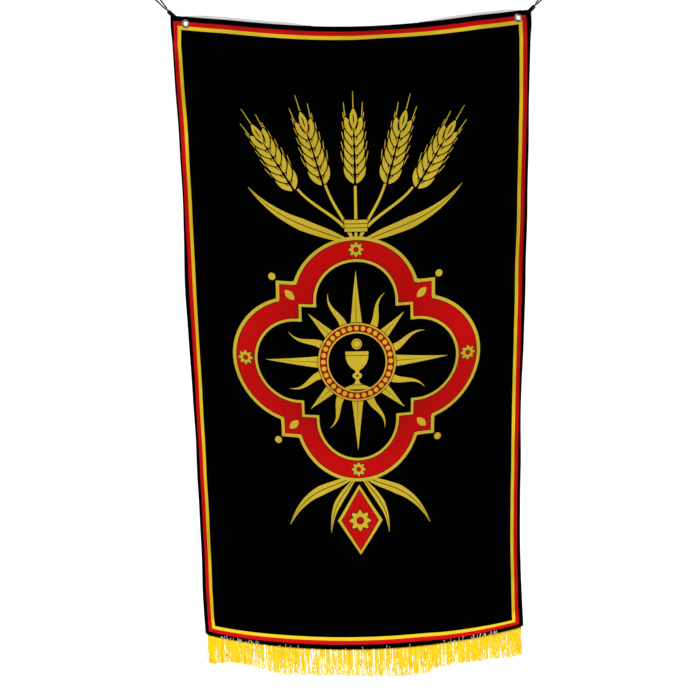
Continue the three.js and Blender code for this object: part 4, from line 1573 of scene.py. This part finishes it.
class BANNER_OT_sew_fringe(bpy.types.Operator):
    """Sews the header braid behind the bottom hem and lets its looped yarns hang"""

    bl_idname = "banner.sew_fringe"
    bl_label = "Sew the fringe"

    def execute(self, context):
        settings = context.scene.banner_fringe
        deep, pale = tuple(settings.deep), tuple(settings.pale)
        # painted light: the fringe yarn glows a little
        yarn = yarn_material("golden_yarn", deep, pale, 0.0042, 0.6, 0.05, glow=0.09)
        half = FLAT_WIDTH / 2
        chance = random.Random(29)
        thick = settings.yarn_radius

        braid = Strands()
        for row, below in enumerate((-0.0038, -0.0014, 0.0009)):
            down = FLAT_LENGTH + below
            line = []
            for n in range(241):
                across = -half + 0.0012 + (FLAT_WIDTH - 0.0024) * n / 240
                wave = 0.00035 * math.sin(n * 1.9 + row)
                line.append(cloth_place(across, down + wave, HEADER_FRONT + HEADER_THICKNESS / 2))
            braid.add(line, 0.00125, 6, 0.25 + 0.1 * row, 2, 0.08, 0.006)
        header = braid.piece("fringe_header", yarn)
        finish_piece(header, "yarn")

        def loop(place, layer, share):
            """One yarn: down, round its tip and up again, its two legs wound about each other."""
            depth = HEADER_FRONT + HEADER_THICKNESS / 2 + layer
            root = cloth_place(place * half, FLAT_LENGTH + 0.001, depth)
            edge = cloth_place(place * half, FLAT_LENGTH)
            length = float(smooth_at(FRINGE_PLACES, FRINGE_LENGTHS, place)) * share
            drop = root.z - edge.z + length + chance.uniform(-0.0025, 0.002)
            wide = chance.uniform(0.0012, 0.0029)
            turns = chance.choice((0, 1, 1, 2, 2, 3)) * chance.choice((-1, 1))
            start = chance.uniform(-0.7, 0.7)
            drift, lean = chance.uniform(-0.002, 0.002), chance.uniform(-0.0012, 0.0012)
            sway, phase = chance.uniform(0.0003, 0.0012), chance.uniform(0, 2 * math.pi)
            lowest = 1 - wide / drop
            close = 0.9 * thick

            def centre(t):
                x = root.x + drift * t * t + sway * t * math.sin(phase + 7 * t)
                return Vector((x, root.y + lean * t, root.z - drop * t))

            def sideways(t):
                angle = start + turns * math.pi * t
                return Vector((math.cos(angle), 0.5 * math.sin(angle), 0))

            legs = []
            for leg in (1, -1):
                rows = []
                for n in range(9):
                    t = lowest * n / 8
                    spread = close + (wide - close) * float(smooth_step(t, 0.45, 0.97))
                    rows.append(centre(t) + sideways(t) * (leg * spread))
                legs.append(rows)
            middle, across = centre(lowest), sideways(lowest)
            tip = [
                middle + across * (wide * a) - Vector((0, 0, wide * b))
                for a, b in ((0.74, 0.7), (0, 1), (-0.74, 0.7))
            ]
            return legs[0] + tip + legs[1][::-1]

        even = [-0.993 + 1.986 * (n + 0.5) / settings.loops for n in range(settings.loops)]
        bunches = [chance.uniform(-0.993, -0.9) for _ in range(14)]
        bunches += [chance.uniform(-0.88, -0.7) for _ in range(16)]
        bunches += [chance.uniform(0.6, 0.73) for _ in range(13)]
        behind = [chance.uniform(-0.99, 0.99) for _ in range(settings.back_loops)]
        behind = [p for p in behind if not -0.42 < p < -0.04 or chance.random() < 0.4]
        gap = 1.0 / settings.loops
        for name, places, layer, size in (
            ("fringe_front_row", even + bunches, -0.0003, thick),
            ("fringe_back_row", behind, 0.0009, thick * 0.9),
        ):
            row = Strands()
            for place in places:
                share = 1.0
                if places is behind:
                    share = chance.choice((0.3, 0.4, 0.5, 0.62, 0.76, 0.95))
                place = min(0.993, max(-0.993, place + chance.uniform(-gap, gap)))
                tone = min(1.0, max(0.0, chance.gauss(0.35, 0.25)))
                row.add(loop(place, layer, share), size, 4, tone)
            finish_piece(row.piece(name, yarn), "yarn", "fringe")

        tufts = Strands()
        for low, high, count in (
            (-0.27, -0.2, 24), (-0.17, -0.12, 5), (0.15, 0.255, 30), (-0.1, 0.1, 5),
        ):
            for _ in range(count):
                across = chance.uniform(low, high)
                rise = chance.uniform(0.0015, 0.0078)
                lean = chance.uniform(-0.0025, 0.0025)
                points = [
                    cloth_place(across, FLAT_LENGTH + 0.0022, 0.0026),
                    cloth_place(across + lean * 0.2, FLAT_LENGTH + 0.0016, 0.0002),
                    cloth_place(across + lean * 0.5, FLAT_LENGTH - rise * 0.3, -0.0006),
                    cloth_place(across + lean, FLAT_LENGTH - rise, -0.001),
                    cloth_place(across + lean * 1.5, FLAT_LENGTH - rise * 0.8, -0.0013),
                ]
                tufts.add(smooth_line(points, 0.0011), 0.0003, 4, chance.uniform(0.7, 1.0))
        pale_yarn = yarn_material("pale_yarn", (1.0, 0.8, 0.34), (1.0, 0.95, 0.8), 0.0042)
        finish_piece(tufts.piece("fringe_stray_threads", pale_yarn), "yarn")
        return {"FINISHED"}


STEPS = (
    BANNER_OT_place_stage,
    BANNER_OT_tie_cords,
    BANNER_OT_hang_cloth,
    BANNER_OT_stitch_hems,
    BANNER_OT_set_eyelets,
    BANNER_OT_sew_tabs,
    BANNER_OT_sew_fringe,
)


class BANNER_PT_making(bpy.types.Panel):
    """Lists the steps of making the banner, with the sizes and colours of each"""

    bl_label = "Church Banner"
    bl_idname = "BANNER_PT_making"
    bl_space_type = "VIEW_3D"
    bl_region_type = "UI"
    bl_category = "Banner"

    def draw(self, context):
        for step in STEPS:
            self.layout.operator(step.bl_idname)
        for settings in SETTINGS:
            box = self.layout.box()
            group = getattr(context.scene, settings)
            for name in type(group).__annotations__:
                box.prop(group, name)


SETTINGS = {
    "banner_cloth": BannerClothSettings,
    "banner_fringe": BannerFringeSettings,
    "banner_ties": BannerTieSettings,
    "banner_eyelets": BannerEyeletSettings,
    "banner_stage": BannerStageSettings,
}


def register():
    for name, settings in SETTINGS.items():
        bpy.utils.register_class(settings)
        setattr(bpy.types.Scene, name, PointerProperty(type=settings))
    for step in STEPS:
        bpy.utils.register_class(step)
    bpy.utils.register_class(BANNER_PT_making)


def unregister():
    bpy.utils.unregister_class(BANNER_PT_making)
    for step in reversed(STEPS):
        bpy.utils.unregister_class(step)
    for name, settings in SETTINGS.items():
        delattr(bpy.types.Scene, name)
        bpy.utils.unregister_class(settings)


def main():
    register()
    bpy.ops.banner.place_stage()
    bpy.ops.banner.tie_cords()
    bpy.ops.banner.hang_cloth()
    bpy.ops.banner.stitch_hems()
    bpy.ops.banner.set_eyelets()
    bpy.ops.banner.sew_tabs()
    bpy.ops.banner.sew_fringe()


if __name__ == "__main__":
    main()
